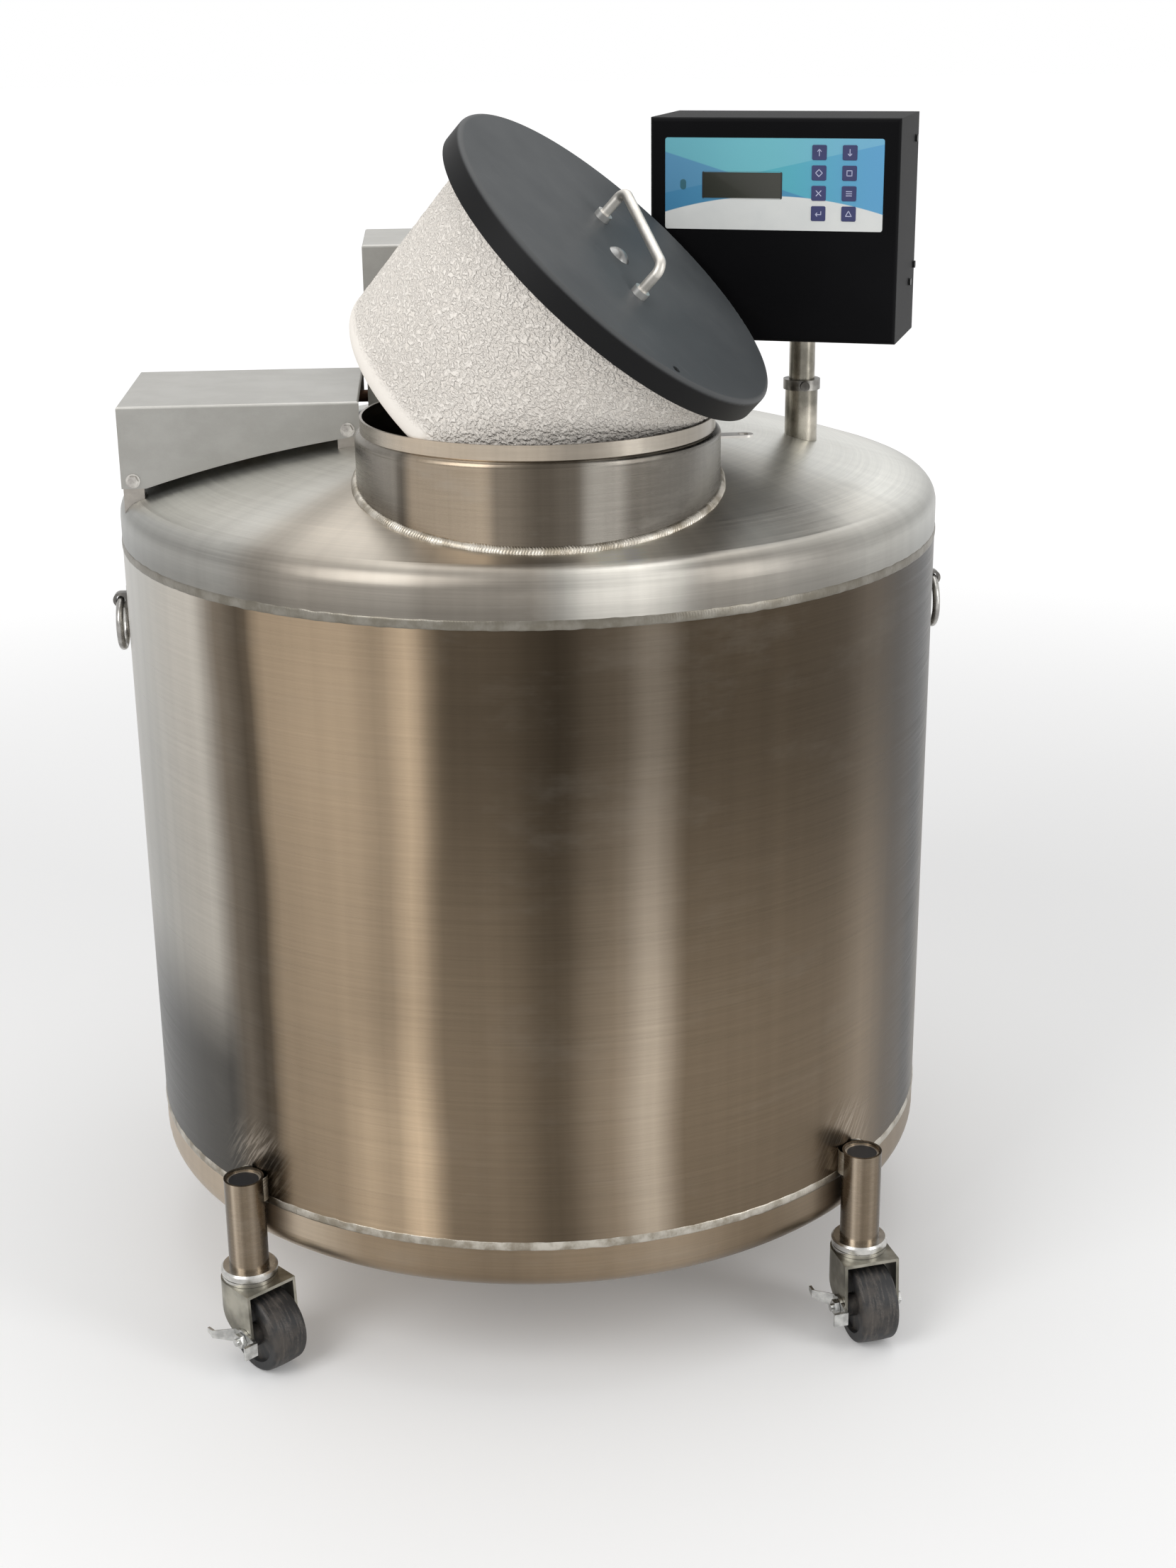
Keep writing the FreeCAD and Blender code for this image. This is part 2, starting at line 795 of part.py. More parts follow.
def rim_gap(offset, rise):
    """Gap from the neck's inner wall to the plug's bottom edge, with the lid at this place over the rim."""
    tilt = math.radians(lid_tilt)
    bore = neck_r - neck_wall
    ring_r_mid = plug_bottom_r - plug_round
    ring_s = plug_length - plug_round
    best = 1000.0
    for step in range(40, 180):
        angle = math.pi * step / 180
        for drop in range(0, 60, 3):
            dx = bore * math.cos(angle) - offset
            dy = bore * math.sin(angle)
            dz = -drop - rise
            depth = -(dx * math.sin(tilt) + dz * math.cos(tilt))
            across = dx * math.cos(tilt) - dz * math.sin(tilt)
            radius = math.hypot(across, dy)
            if depth > ring_s - plug_round:
                gap = math.hypot(max(radius - ring_r_mid, 0), max(depth - ring_s, 0)) - plug_round
                best = min(best, gap)
    return best


def settle_lid():
    """Where the lid comes to lie: its side on the low rim, its bottom edge wedged between front and back."""
    taper = math.atan2(plug_top_r - plug_bottom_r, plug_length)
    lean = math.radians(lid_tilt) + taper
    bore = neck_r - neck_wall

    def rise_at(offset):
        return (lid_gap + plug_top_r * math.cos(taper) - (bore - offset) * math.cos(lean)) / math.sin(lean)

    low, high = 0.0, neck_r
    for _ in range(24):
        middle = (low + high) / 2
        if rim_gap(middle, rise_at(middle)) < lid_gap:
            low = middle
        else:
            high = middle
    return high, rise_at(high)


lid_offset, lid_rise = settle_lid()


def place_lid(shape):
    """Tilt a piece of the lid and set it down in the neck."""
    turn = math.radians(lid_turn)
    shape.rotate(ORIGIN, vec(0, 1, 0), lid_tilt)
    shape.rotate(ORIGIN, UP, lid_turn)
    x = lid_offset * math.cos(turn)
    y = lid_offset * math.sin(turn) - neck_offset
    shape.translate(vec(x, y, neck_rim + lid_rise))
    return shape


def make_handle():
    """Round bar bent into a low U, standing on the cover."""
    half = handle_span / 2
    top = cover_height + handle_height
    bend = handle_bend
    dip = bend * (1 - math.sqrt(0.5))
    foot = cover_height
    path = Part.Wire([
        line(vec(-half, 0, foot), vec(-half, 0, top - bend)),
        arc(vec(-half, 0, top - bend), vec(-half + dip, 0, top - dip), vec(-half + bend, 0, top)),
        line(vec(-half + bend, 0, top), vec(half - bend, 0, top)),
        arc(vec(half - bend, 0, top), vec(half - dip, 0, top - dip), vec(half, 0, top - bend)),
        line(vec(half, 0, top - bend), vec(half, 0, foot)),
    ])
    section = Part.Wire(Part.Circle(vec(-half, 0, foot), UP, handle_wire).toShape())
    return path.makePipeShell([section], True, True)


def make_lid():
    inside = cover_r - cover_wall
    under = cover_height - cover_wall
    lean = cover_round * (1 - math.sqrt(0.5))
    pan = spun([
        line(vec(cover_r, 0, 0), vec(cover_r, 0, cover_height - cover_round)),
        arc(vec(cover_r, 0, cover_height - cover_round), vec(cover_r - lean, 0, cover_height - lean),
            vec(cover_r - cover_round, 0, cover_height)),
        line(vec(cover_r - cover_round, 0, cover_height), vec(0, 0, cover_height)),
        line(vec(0, 0, cover_height), vec(0, 0, under)),
        line(vec(0, 0, under), vec(inside, 0, under)),
        line(vec(inside, 0, under), vec(inside, 0, cover_lip)),
        line(vec(inside, 0, cover_lip), vec(inside - cover_lip, 0, 0)),
        line(vec(inside - cover_lip, 0, 0), vec(cover_r, 0, 0)),
    ])
    turn = math.radians(lock_hole_turn)
    hole = cylinder(lock_hole_r, under - 1, cover_height + 1, lock_hole_at * math.cos(turn),
                    lock_hole_at * math.sin(turn))
    bolt_hole = cylinder(bolt_shank_r, under - 1, cover_height + 1)
    save("lid_cover", place_lid(pan.cut(hole).cut(bolt_hole)))

    foam_r = inside - foam_gap - cover_lip
    corner = plug_round * (1 - math.sqrt(0.5))
    slope = (plug_top_r - plug_bottom_r) / plug_length
    knee = plug_bottom_r + slope * plug_round
    foam = spun([
        line(vec(0, 0, under), vec(foam_r, 0, under)),
        line(vec(foam_r, 0, under), vec(foam_r, 0, 0.5)),
        line(vec(foam_r, 0, 0.5), vec(plug_top_r, 0, 0.5)),
        line(vec(plug_top_r, 0, 0.5), vec(knee, 0, plug_round - plug_length)),
        arc(vec(knee, 0, plug_round - plug_length),
            vec(plug_bottom_r - corner, 0, corner - plug_length),
            vec(plug_bottom_r - plug_round, 0, -plug_length)),
        line(vec(plug_bottom_r - plug_round, 0, -plug_length), vec(0, 0, -plug_length)),
        line(vec(0, 0, -plug_length), vec(0, 0, under)),
    ])
    foam = foam.cut(cylinder(bolt_shank_r, cover_height - bolt_shank, under))
    save("lid_plug", place_lid(foam))

    handle = make_handle()
    handle.rotate(ORIGIN, UP, handle_turn)
    save("lid_handle", place_lid(handle))
    feet = []
    for side in (-1, 1):
        foot = ring(foot_r, handle_wire, cover_height, cover_height + foot_height, side * handle_span / 2)
        foot.rotate(ORIGIN, UP, handle_turn)
        feet.append(place_lid(foot))
    save("handle_collars", *feet)

    dome_r = (bolt_r ** 2 + bolt_height ** 2) / (2 * bolt_height)
    half_lean = math.asin(bolt_r / dome_r) / 2
    centre = cover_height + bolt_height - dome_r
    bolt = spun([
        line(vec(0, 0, cover_height + bolt_height), vec(0, 0, cover_height - bolt_shank)),
        line(vec(0, 0, cover_height - bolt_shank), vec(bolt_shank_r, 0, cover_height - bolt_shank)),
        line(vec(bolt_shank_r, 0, cover_height - bolt_shank), vec(bolt_shank_r, 0, cover_height)),
        line(vec(bolt_shank_r, 0, cover_height), vec(bolt_r, 0, cover_height)),
        arc(vec(bolt_r, 0, cover_height),
            vec(dome_r * math.sin(half_lean), 0, centre + dome_r * math.cos(half_lean)),
            vec(0, 0, cover_height + bolt_height)),
    ])
    save("lid_bolt", place_lid(bolt))


def make_lock_tab():
    """Padlock tab: a strap welded to the collar, with a hole near its rounded end."""
    low = neck_rim - tab_drop
    root = collar_r * 0.96
    end = collar_r + tab_reach - tab_half
    tab = block(root, end, -tab_half, tab_half, low, low + tab_plate)
    tab = tab.fuse(cylinder(tab_half, low, low + tab_plate, end)).removeSplitter()
    tab = tab.cut(cylinder(tab_hole_r, low, low + tab_plate, end - 1))
    tab.rotate(ORIGIN, UP, tab_turn)
    tab.translate(vec(0, -neck_offset, 0))
    save("lock_tab", tab.cut(cylinder(collar_r, low - 1, low + tab_plate + 1, 0, -neck_offset)))


# Controller

def place_box(shape):
    """Set a piece of the controller over its post; x is across the front, y runs from front to back."""
    shape.translate(vec(-box_side_shift, -box_front_shift, box_bottom))
    shape.rotate(ORIGIN, UP, box_turn)
    shape.translate(vec(post_x, post_y, 0))
    return shape


def rounded_block(x0, x1, y0, y1, z0, z1, r):
    """Box with its upright and front edges rounded like folded sheet."""
    body = block(x0, x1, y0, y1, z0, z1)
    front = [edge for edge in body.Edges if abs(edge.CenterOfMass.y - y0) < 0.001]
    return body.makeFillet(r, front)


def make_post():
    base = socket_top - dome_height(post_x, post_y) + trim_depth
    socket = ring(socket_r, post_r + post_fit, socket_top - base, socket_top, post_x, post_y)
    save("post_socket", socket.cut(outer_head(0, 1)))
    clamp = ring(clamp_r, post_r + post_fit, socket_top, socket_top + clamp_height, post_x, post_y)
    middle = socket_top + clamp_height / 2
    screw_in = post_r + swivel_gap
    front = vec(post_x, post_y - clamp_r, middle)
    screw = Part.makeCylinder(clamp_screw_r, clamp_r - screw_in, front, vec(0, 1, 0))
    head = Part.makeCylinder(clamp_screw_head_r, clamp_screw_out, front, vec(0, -1, 0))
    save("post_clamp", clamp.cut(screw), screw.fuse(head).removeSplitter())
    tube = ring(post_r, post_r - post_wall, post_foot, box_bottom - plate_thickness, post_x, post_y)
    flange = ring(plate_r, post_r - post_wall, box_bottom - plate_thickness, box_bottom, post_x, post_y)
    save("post_tube", tube.fuse(flange).removeSplitter())


def make_controller():
    half = box_width / 2
    case = rounded_block(-half, half, 0, box_depth, 0, box_height, box_bend)
    hollow = rounded_block(-half + box_wall, half - box_wall, box_wall, box_depth + box_wall, box_wall,
                           box_height - box_wall, box_bend - box_wall)
    case = case.cut(hollow)
    cable_r = post_r - post_wall
    case = case.cut(cylinder(cable_r, 0, box_wall, box_side_shift, box_front_shift))

    inset = box_wall + back_gap
    back = block(-half + inset, half - inset, box_depth - back_flange, box_depth, inset, box_height - inset)
    back = back.cut(block(-half + inset + box_wall, half - inset - box_wall, 0, box_depth - box_wall,
                          inset + box_wall, box_height - inset - box_wall))

    screws = []
    for side in (-1, 1):
        for from_back, height in (*lower_screws, (upper_screw[0], box_height - upper_screw[1])):
            place = vec(side * half, box_depth - from_back, height)
            shank = Part.makeCylinder(screw_r / 2, 2 * box_wall + back_gap, place, vec(-side, 0, 0))
            head = Part.makeCylinder(screw_r, screw_head, place, vec(side, 0, 0))
            case = case.cut(shank)
            back = back.cut(shank)
            screws.append(place_box(shank.fuse(head).removeSplitter()))
    save("control_box", place_box(case))
    save("control_back", place_box(back))
    save("control_screws", *screws)

    low = overlay_middle - overlay_height / 2
    overlay = block(-overlay_width / 2, overlay_width / 2, -overlay_thickness, 0, low, low + overlay_height)
    corners = [edge for edge in overlay.Edges if abs(edge.CenterOfMass.y + overlay_thickness / 2) < 0.001]
    overlay = overlay.makeFillet(overlay_corner, corners)
    window_low = window_middle - window_height / 2
    window = block(window_x - window_width / 2, window_x + window_width / 2, -overlay_thickness, 0,
                   window_low, window_low + window_height)
    overlay = overlay.cut(window)
    for column in key_columns:
        for row in range(key_rows):
            middle = key_top - row * key_pitch
            key = block(column - key_size / 2, column + key_size / 2, -overlay_thickness - key_rise, 0,
                        middle - key_size / 2, middle + key_size / 2)
            overlay = overlay.fuse(key)
    save("control_overlay", place_box(overlay.removeSplitter()))
    save("display_window", place_box(window))

    board_low = overlay_middle - board_height / 2
    board = block(-board_width / 2, board_width / 2, box_wall + board_stand,
                  box_wall + board_stand + board_thickness, board_low, board_low + board_height)
    for side in (-1, 1):
        for height in (board_low + 2 * board_stand_r, board_low + board_height - 2 * board_stand_r):
            foot = vec(side * (board_width / 2 - 2 * board_stand_r), box_wall, height)
            post = Part.makeCylinder(board_stand_r, board_stand, foot, vec(0, 1, 0))
            board = board.fuse(post)
    save("circuit_board", place_box(board.removeSplitter()))


# Covers on the dome

def sheet_cover(left, right, front, back, top, bottom, lift):
    """Folded sheet box, open below, trimmed to follow the dome at a set height."""
    body = block(left, right, front, back, bottom, top)
    upper = [edge for edge in body.Edges if abs(edge.CenterOfMass.z - top) < 0.001]
    body = body.makeFillet(1.5 * sheet, upper)
    hollow = block(left + sheet, right - sheet, front + sheet, back - sheet, bottom - 1, top - sheet)
    return body.cut(hollow).cut(outer_head(lift, 1))


def foot_bracket(x, y):
    """L bracket: an upright plate behind a cover's front wall and a foot on the dome."""
    low = dome_height(x, y) - trim_depth
    top = max(dome_height(x, y) + cover_lift, cover_bottom) + bracket_rise
    upright = block(x - bracket_width / 2, x + bracket_width / 2, y, y + sheet, low, top)
    foot = block(x - bracket_width / 2, x + bracket_width / 2, y, y + bracket_foot, low, top)
    foot = foot.common(outer_head(sheet, 1))
    return upright.fuse(foot).cut(outer_head(0, 1)).removeSplitter()


def hex_screw(x, y, z):
    """Hex-head screw with its washer through a front wall, head towards -Y."""
    head = hexagon(cover_screw_head_r, 0, washer_thickness + cover_screw_head)
    head = head.fuse(cylinder(washer_r, 0, washer_thickness))
    head.rotate(ORIGIN, vec(1, 0, 0), 90)
    shank = Part.makeCylinder(cover_screw_r, cover_screw_length, ORIGIN, vec(0, 1, 0))
    screw = head.fuse(shank).removeSplitter()
    screw.translate(vec(x, y, z))
    return screw


def make_covers():
    low_cover = sheet_cover(cover_left, cover_right, cover_front, cover_back,
                            cover_top, cover_bottom, cover_lift)
    foot = dome_height(riser_left, riser_back) - trim_depth
    riser = sheet_cover(riser_left, riser_right, riser_front, riser_back, riser_top, foot, riser_lift)
    slot = block(cover_right - 2 * sheet, riser_left + 2 * sheet, pipe_y - slot_width / 2,
                 pipe_y + slot_width / 2, pipe_z - slot_height / 2, pipe_z + slot_height / 2)
    port = Part.makeCylinder(inlet_r, 2 * sheet, vec(inlet_x, cover_back - 1.5 * sheet, pipe_z), vec(0, 1, 0))
    open_end = block(cover_right - 1.5 * sheet, cover_right + sheet, cover_front + sheet, cover_back - sheet,
                     cover_bottom - 1, cover_top - sheet)
    low_cover = low_cover.cut(slot).cut(port).cut(open_end)
    riser = riser.cut(slot)

    margin = bracket_width / 2 + sheet
    places = (
        (cover_left + margin, cover_front + sheet),
        (cover_right - margin, cover_front + sheet),
        (riser_right - margin, riser_front + sheet),
    )
    brackets = []
    screws = []
    for x, y in places:
        height = max(dome_height(x, y) + cover_lift, cover_bottom) + screw_up
        bracket = foot_bracket(x, y)
        screw = hex_screw(x, y - sheet, height)
        clear = Part.makeCylinder(cover_screw_r + cover_screw_gap, 2 * sheet, vec(x, y - 1.5 * sheet, height),
                                  vec(0, 1, 0))
        low_cover = low_cover.cut(clear)
        riser = riser.cut(clear)
        brackets.append(bracket.cut(screw))
        screws.append(screw)
    save("plumbing_cover", low_cover)
    save("riser_cover", riser)
    save("cover_brackets", *brackets)
    save("cover_screws", *screws)


def pipe_along(points, r):
    """Pipe along straight runs joined by tangent arcs."""
    corners = [vec(*p) for p in points]
    edges = []
    start = corners[0]
    for k in range(1, len(corners) - 1):
        before = (corners[k - 1] - corners[k]).normalize()
        after = (corners[k + 1] - corners[k]).normalize()
        a = corners[k] + before * pipe_bend
        b = corners[k] + after * pipe_bend
        middle = corners[k] + (before + after) * pipe_bend * (1 - math.sqrt(0.5))
        edges.append(line(start, a))
        edges.append(arc(a, middle, b))
        start = b
    edges.append(line(start, corners[-1]))
    section = Part.Wire(Part.Circle(corners[0], corners[1] - corners[0], r).toShape())
    return Part.Wire(edges).makePipeShell([section], True, True)


def make_fill_line():
    low = dome_height(pipe_rise_x, pipe_rise_y)
    route = (
        (inlet_x, cover_back - sheet, pipe_z),
        (inlet_x, pipe_y, pipe_z),
        (pipe_rise_x, pipe_y, pipe_z),
        (pipe_rise_x, pipe_y, riser_top - pipe_headroom),
        (pipe_rise_x, pipe_rise_y, riser_top - pipe_headroom),
        (pipe_rise_x, pipe_rise_y, low - trim_depth),
    )
    pipe = pipe_along(route, pipe_r).cut(outer_head(0, 1))
    save("fill_pipe", pipe)

    valves = []
    for inset in valve_insets:
        x = cover_right - inset
        half = valve_size / 2
        body = block(x - half, x + half, pipe_y - half, pipe_y + half, pipe_z - valve_height / 2,
                     pipe_z + valve_height / 2)
        coil = cylinder(coil_r, pipe_z + valve_height / 2, pipe_z + valve_height / 2 + coil_height, x, pipe_y)
        valves.append(body.fuse(coil).removeSplitter().cut(pipe))
    x = cover_right - valve_insets[1] / 2
    relief = cylinder(relief_r, pipe_z, pipe_z + relief_height, x, pipe_y)
    relief = relief.fuse(cylinder(relief_r * 1.4, pipe_z - pipe_r * 1.5, pipe_z + pipe_r * 1.5, x, pipe_y))
    save("fill_valves", *valves, relief.removeSplitter().cut(pipe))

    nut = hexagon(inlet_hex_r, 0, inlet_hex)
    nut.rotate(ORIGIN, vec(1, 0, 0), -90)
    nut.translate(vec(inlet_x, cover_back, pipe_z))
    reach = inlet_out + inlet_hex
    spigot = Part.makeCylinder(inlet_r, reach + sheet, vec(inlet_x, cover_back - sheet, pipe_z), vec(0, 1, 0))
    bore = Part.makeCylinder(pipe_r - pipe_wall, reach, vec(inlet_x, cover_back, pipe_z), vec(0, 1, 0))
    save("inlet_fitting", nut.fuse(spigot).removeSplitter().cut(bore))


make_vessel()
make_inner_vessel()
make_carousel()
make_legs()
make_casters()
make_lifting()
make_lid()
make_lock_tab()
make_post()
make_controller()
make_covers()
make_fill_line()
print("lid offset", round(lid_offset, 2), "rise", round(lid_rise, 2))
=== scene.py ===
"""Looks of a liquid nitrogen freezer: steel finishes, weld beads, foam plug, panel print and studio."""

import logging
import math
from dataclasses import dataclass, field
from enum import Enum
from functools import cached_property
from typing import Any, Callable, Sequence

import bmesh
import bpy
from mathutils import Matrix, Vector, noise


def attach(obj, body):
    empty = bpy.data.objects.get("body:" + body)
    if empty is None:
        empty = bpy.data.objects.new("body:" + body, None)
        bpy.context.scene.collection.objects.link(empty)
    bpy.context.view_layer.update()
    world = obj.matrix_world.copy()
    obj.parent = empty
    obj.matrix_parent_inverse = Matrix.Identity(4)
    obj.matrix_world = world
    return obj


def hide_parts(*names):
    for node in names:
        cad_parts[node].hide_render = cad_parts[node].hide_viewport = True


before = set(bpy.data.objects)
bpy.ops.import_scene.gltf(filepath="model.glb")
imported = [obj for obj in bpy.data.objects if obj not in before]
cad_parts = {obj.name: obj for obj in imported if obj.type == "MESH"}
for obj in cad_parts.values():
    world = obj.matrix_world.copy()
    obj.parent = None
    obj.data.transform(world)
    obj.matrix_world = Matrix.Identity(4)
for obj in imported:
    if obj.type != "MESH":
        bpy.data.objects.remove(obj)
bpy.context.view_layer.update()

LOG = logging.getLogger("freezer")
MM = 0.001
SHELL_R = 533.4 * MM
NECK_Y = -271.0 * MM
LEG_AT = 560.0 * MM
Colour = tuple[float, float, float]
Place = tuple[float, float, float]
ReflectionBand = tuple[float, float, float]
Socket = Any
WHITE: Colour = (1.0, 1.0, 1.0)


class Swept(Enum):
    """The way a finish's grain runs."""

    AROUND = "around an upright axis"
    LEVEL = "level, along X and Y"
    UPRIGHT = "up and down"


class Glyph(Enum):
    """Plain marks of the keypad, each a set of strokes in a square from -1 to 1."""

    UP = (((0, -0.7), (0, 0.7)), ((-0.4, 0.25), (0, 0.7), (0.4, 0.25)))
    DOWN = (((0, 0.7), (0, -0.7)), ((-0.4, -0.25), (0, -0.7), (0.4, -0.25)))
    DIAMOND = (((0, 0.75), (0.75, 0), (0, -0.75), (-0.75, 0), (0, 0.75)),)
    SQUARE = (((-0.55, -0.55), (0.55, -0.55), (0.55, 0.55), (-0.55, 0.55), (-0.55, -0.55)),)
    CROSS = (((-0.55, -0.55), (0.55, 0.55)), ((-0.55, 0.55), (0.55, -0.55)))
    BARS = (((-0.6, 0.45), (0.6, 0.45)), ((-0.6, 0), (0.6, 0)), ((-0.6, -0.45), (0.6, -0.45)))
    RETURN = (((0.6, 0.45), (0.6, -0.2), (-0.6, -0.2)), ((-0.25, 0.15), (-0.6, -0.2), (-0.25, -0.55)))
    TRIANGLE = (((-0.65, -0.5), (0.65, -0.5), (0, 0.65), (-0.65, -0.5)),)


class Value:
    """An output in a material's wiring, which sums and products join as they join plain numbers."""

    def __init__(self, board: "Board", socket: Socket) -> None:
        """Hold an output of the board."""
        self.board, self.socket = board, socket

    def __add__(self, other: Any) -> "Value":
        """Add a number."""
        return self.board.maths("ADD", self, other)

    def __sub__(self, other: Any) -> "Value":
        """Take a number away."""
        return self.board.maths("SUBTRACT", self, other)

    def __rsub__(self, other: Any) -> "Value":
        """Take this away from a number."""
        return self.board.maths("SUBTRACT", other, self)

    def __mul__(self, other: Any) -> "Value":
        """Multiply by a number."""
        return self.board.maths("MULTIPLY", self, other)

    def __truediv__(self, other: Any) -> "Value":
        """Divide by a number."""
        return self.board.maths("DIVIDE", self, other)

    __radd__ = __add__
    __rmul__ = __mul__


class Board:
    """Wires the shader nodes of one material, or of the world."""

    def __init__(self, name: str, world: Any = None) -> None:
        """Start a new material, or take over a world.

        Args:
            name: the material's name.
            world: the world, where there is one.
        """
        self.owner = world or bpy.data.materials.new(name)
        self.owner.use_nodes = True
        self.tree = self.owner.node_tree
        self.shader = self.tree.nodes["Background" if world else "Principled BSDF"]
        self.coords = self.wire("ShaderNodeTexCoord", {}, "Object")

    def wire(self, kind: str, inputs: dict[Any, Any], output: Any = 0, **settings: Any) -> Value:
        """Add a node, set its properties and feed its inputs.

        Args:
            kind: the node's type name.
            inputs: what goes in, by each input's name or number.
            output: name or number of the output to take.
            settings: property values by name.

        Returns:
            The output.
        """
        made = self.tree.nodes.new(kind)
        for key, value in settings.items():
            setattr(made, key, value)
        for key, value in inputs.items():
            self.feed(made.inputs[key], value)
        return Value(self, made.outputs[output])

    def feed(self, socket: Socket, value: Any) -> None:
        """Fill an input socket.

        Args:
            socket: the input.
            value: an output of the board, a number, a vector or a colour.
        """
        if isinstance(value, Value):
            self.tree.links.new(value.socket, socket)
        elif isinstance(value, tuple) and socket.type == "RGBA":
            socket.default_value = (*value, 1.0)
        else:
            socket.default_value = value

    def maths(self, operation: str, a: Any, b: Any = 0.0) -> Value:
        """Join two numbers."""
        return self.wire("ShaderNodeMath", {0: a, 1: b}, operation=operation)

    def length(self, a: Value, b: Value) -> Value:
        """Distance from 0 of two numbers at right angles."""
        return self.maths("SQRT", a * a + b * b)

    def place(self, scale: Place = (1, 1, 1), at: Place = (0, 0, 0), turn: float = 0.0,
              tilt: float = 0.0) -> Value:
        """Coordinates in a frame of their own.

        Args:
            scale: how much each coordinate is stretched, after all else.
            at: the frame's place, in metres.
            turn: its turn about Z, in radians.
            tilt: its lean about its own Y, in radians.

        Returns:
            The coordinates.
        """
        where = {"Vector": self.coords, "Location": at, "Rotation": (0, tilt, turn)}
        moved = self.wire("ShaderNodeMapping", where, vector_type="TEXTURE")
        return self.wire("ShaderNodeVectorMath", {0: moved, 1: scale}, operation="MULTIPLY")

    def noise(self, scale: float, detail: float = 3.0, rough: float = 0.5, vector: Any = None) -> Value:
        """Soft noise between 0 and 1, in features per metre of the piece's or the given coordinates."""
        inputs = {"Vector": vector or self.coords, "Scale": scale, "Detail": detail, "Roughness": rough}
        return self.wire("ShaderNodeTexNoise", inputs, "Fac")

    def grain(self, x: Any, y: Any, z: Any, detail: float = 3.0, rough: float = 0.5) -> Value:
        """Soft noise between 0 and 1 on three stretched coordinates."""
        return self.noise(1.0, detail, rough, self.join(x, y, z))

    def ramp(self, value: Value, stops: Sequence[tuple[float, Colour]]) -> Value:
        """Turn a number into a colour that eases between its stops.

        Args:
            value: the number, from 0 to 1.
            stops: position and colour pairs.

        Returns:
            The colour.
        """
        shown = self.wire("ShaderNodeValToRGB", {0: value})
        band = shown.socket.node.color_ramp
        band.interpolation = "EASE"
        for index, (position, colour) in enumerate(stops):
            stop = band.elements[index] if index < 2 else band.elements.new(position)
            stop.position = position
            stop.color = (*colour, 1.0)
        return shown

    def step(self, value: Value, low: float, high: float) -> Value:
        """Ease a number from 0 at low to 1 at high."""
        return self.wire("ShaderNodeMapRange", {"Value": value, "From Min": low, "From Max": high},
                         interpolation_type="SMOOTHSTEP")

    def mix(self, share: Any, a: Any, b: Any, blend: str = "MIX") -> Value:
        """Mix two colours, by how much of the second shows."""
        return self.wire("ShaderNodeMix", {0: share, 6: a, 7: b}, 2, data_type="RGBA", blend_type=blend)

    def dimmed(self, colour: Any, share: Value) -> Value:
        """Multiply a colour by a number."""
        return self.mix(1.0, colour, self.join(share, share, share), "MULTIPLY")

    def axes(self, vector: Any) -> list[Value]:
        """Split a vector into its three numbers."""
        made = self.wire("ShaderNodeSeparateXYZ", {0: vector}).socket.node
        return [Value(self, socket) for socket in made.outputs]

    def join(self, x: Any, y: Any, z: Any) -> Value:
        """Make a vector of three numbers."""
        return self.wire("ShaderNodeCombineXYZ", {0: x, 1: y, 2: z})

    def polar(self, centre: tuple[float, float] = (0.0, 0.0)) -> tuple[Value, Value, Value]:
        """Coordinates about an upright axis.

        Args:
            centre: the axis's place, in metres.

        Returns:
            Turn from 0 to 1 with the front at 0.5, radius, and height.
        """
        x, y, z = self.axes(self.place(at=(*centre, 0)))
        turn = self.maths("ARCTAN2", x, y * -1.0) / (2 * math.pi) + 0.5
        return turn, self.length(x, y), z

    def bump(self, height: Any, depth: float, strength: float = 1.0, under: Any = None) -> Value:
        """Raise the surface, or another bump under it, by a height of which 1 stands depth metres high."""
        inputs = {"Strength": strength, "Distance": depth, "Height": height}
        return self.wire("ShaderNodeBump", inputs if under is None else {**inputs, "Normal": under})

    def finish(self, **values: Any) -> None:
        """Feed the shader's inputs, named with underscores for spaces."""
        for key, value in values.items():
            self.feed(self.shader.inputs[key.replace("_", " ")], value)


@dataclass(frozen=True)
class Finish:
    """A finish, drawn on a board of its own."""

    name: str

    @cached_property
    def board(self) -> Board:
        """The board, made at its first use."""
        return Board(self.name)

    def draw(self) -> None:
        """Wire the finish on its board."""
        raise NotImplementedError

    def build(self) -> bpy.types.Material:
        """Draw the finish and hand its material over."""
        self.draw()
        return self.board.owner


@dataclass(frozen=True)
class Shade:
    """A soft field of painted shade on spun steel, or of painted highlight where its share is below 0."""

    by: float
    start: float
    full: float
    turns: tuple[float, float] = (-200.0, 200.0)
    feather: tuple[float, float] = (4.0, 4.0)

    def mask(self, board: Board, turn: Value, z: Value) -> Value:
        """Lay the field out.

        Args:
            board: the material's board.
            turn: turn from 0 to 1 about the piece, the front at 0.5.
            z: height.

        Returns:
            How much of the field shows, from 0 to 1.
        """
        left, right = (0.5 + degrees / 360 for degrees in self.turns)
        soft_left, soft_right = (degrees / 360 for degrees in self.feather)
        inside = board.step(turn, left - soft_left, left + soft_left)
        inside = inside * board.step(turn, right + soft_right, right - soft_right)
        return inside * board.step(z, self.start, self.full)


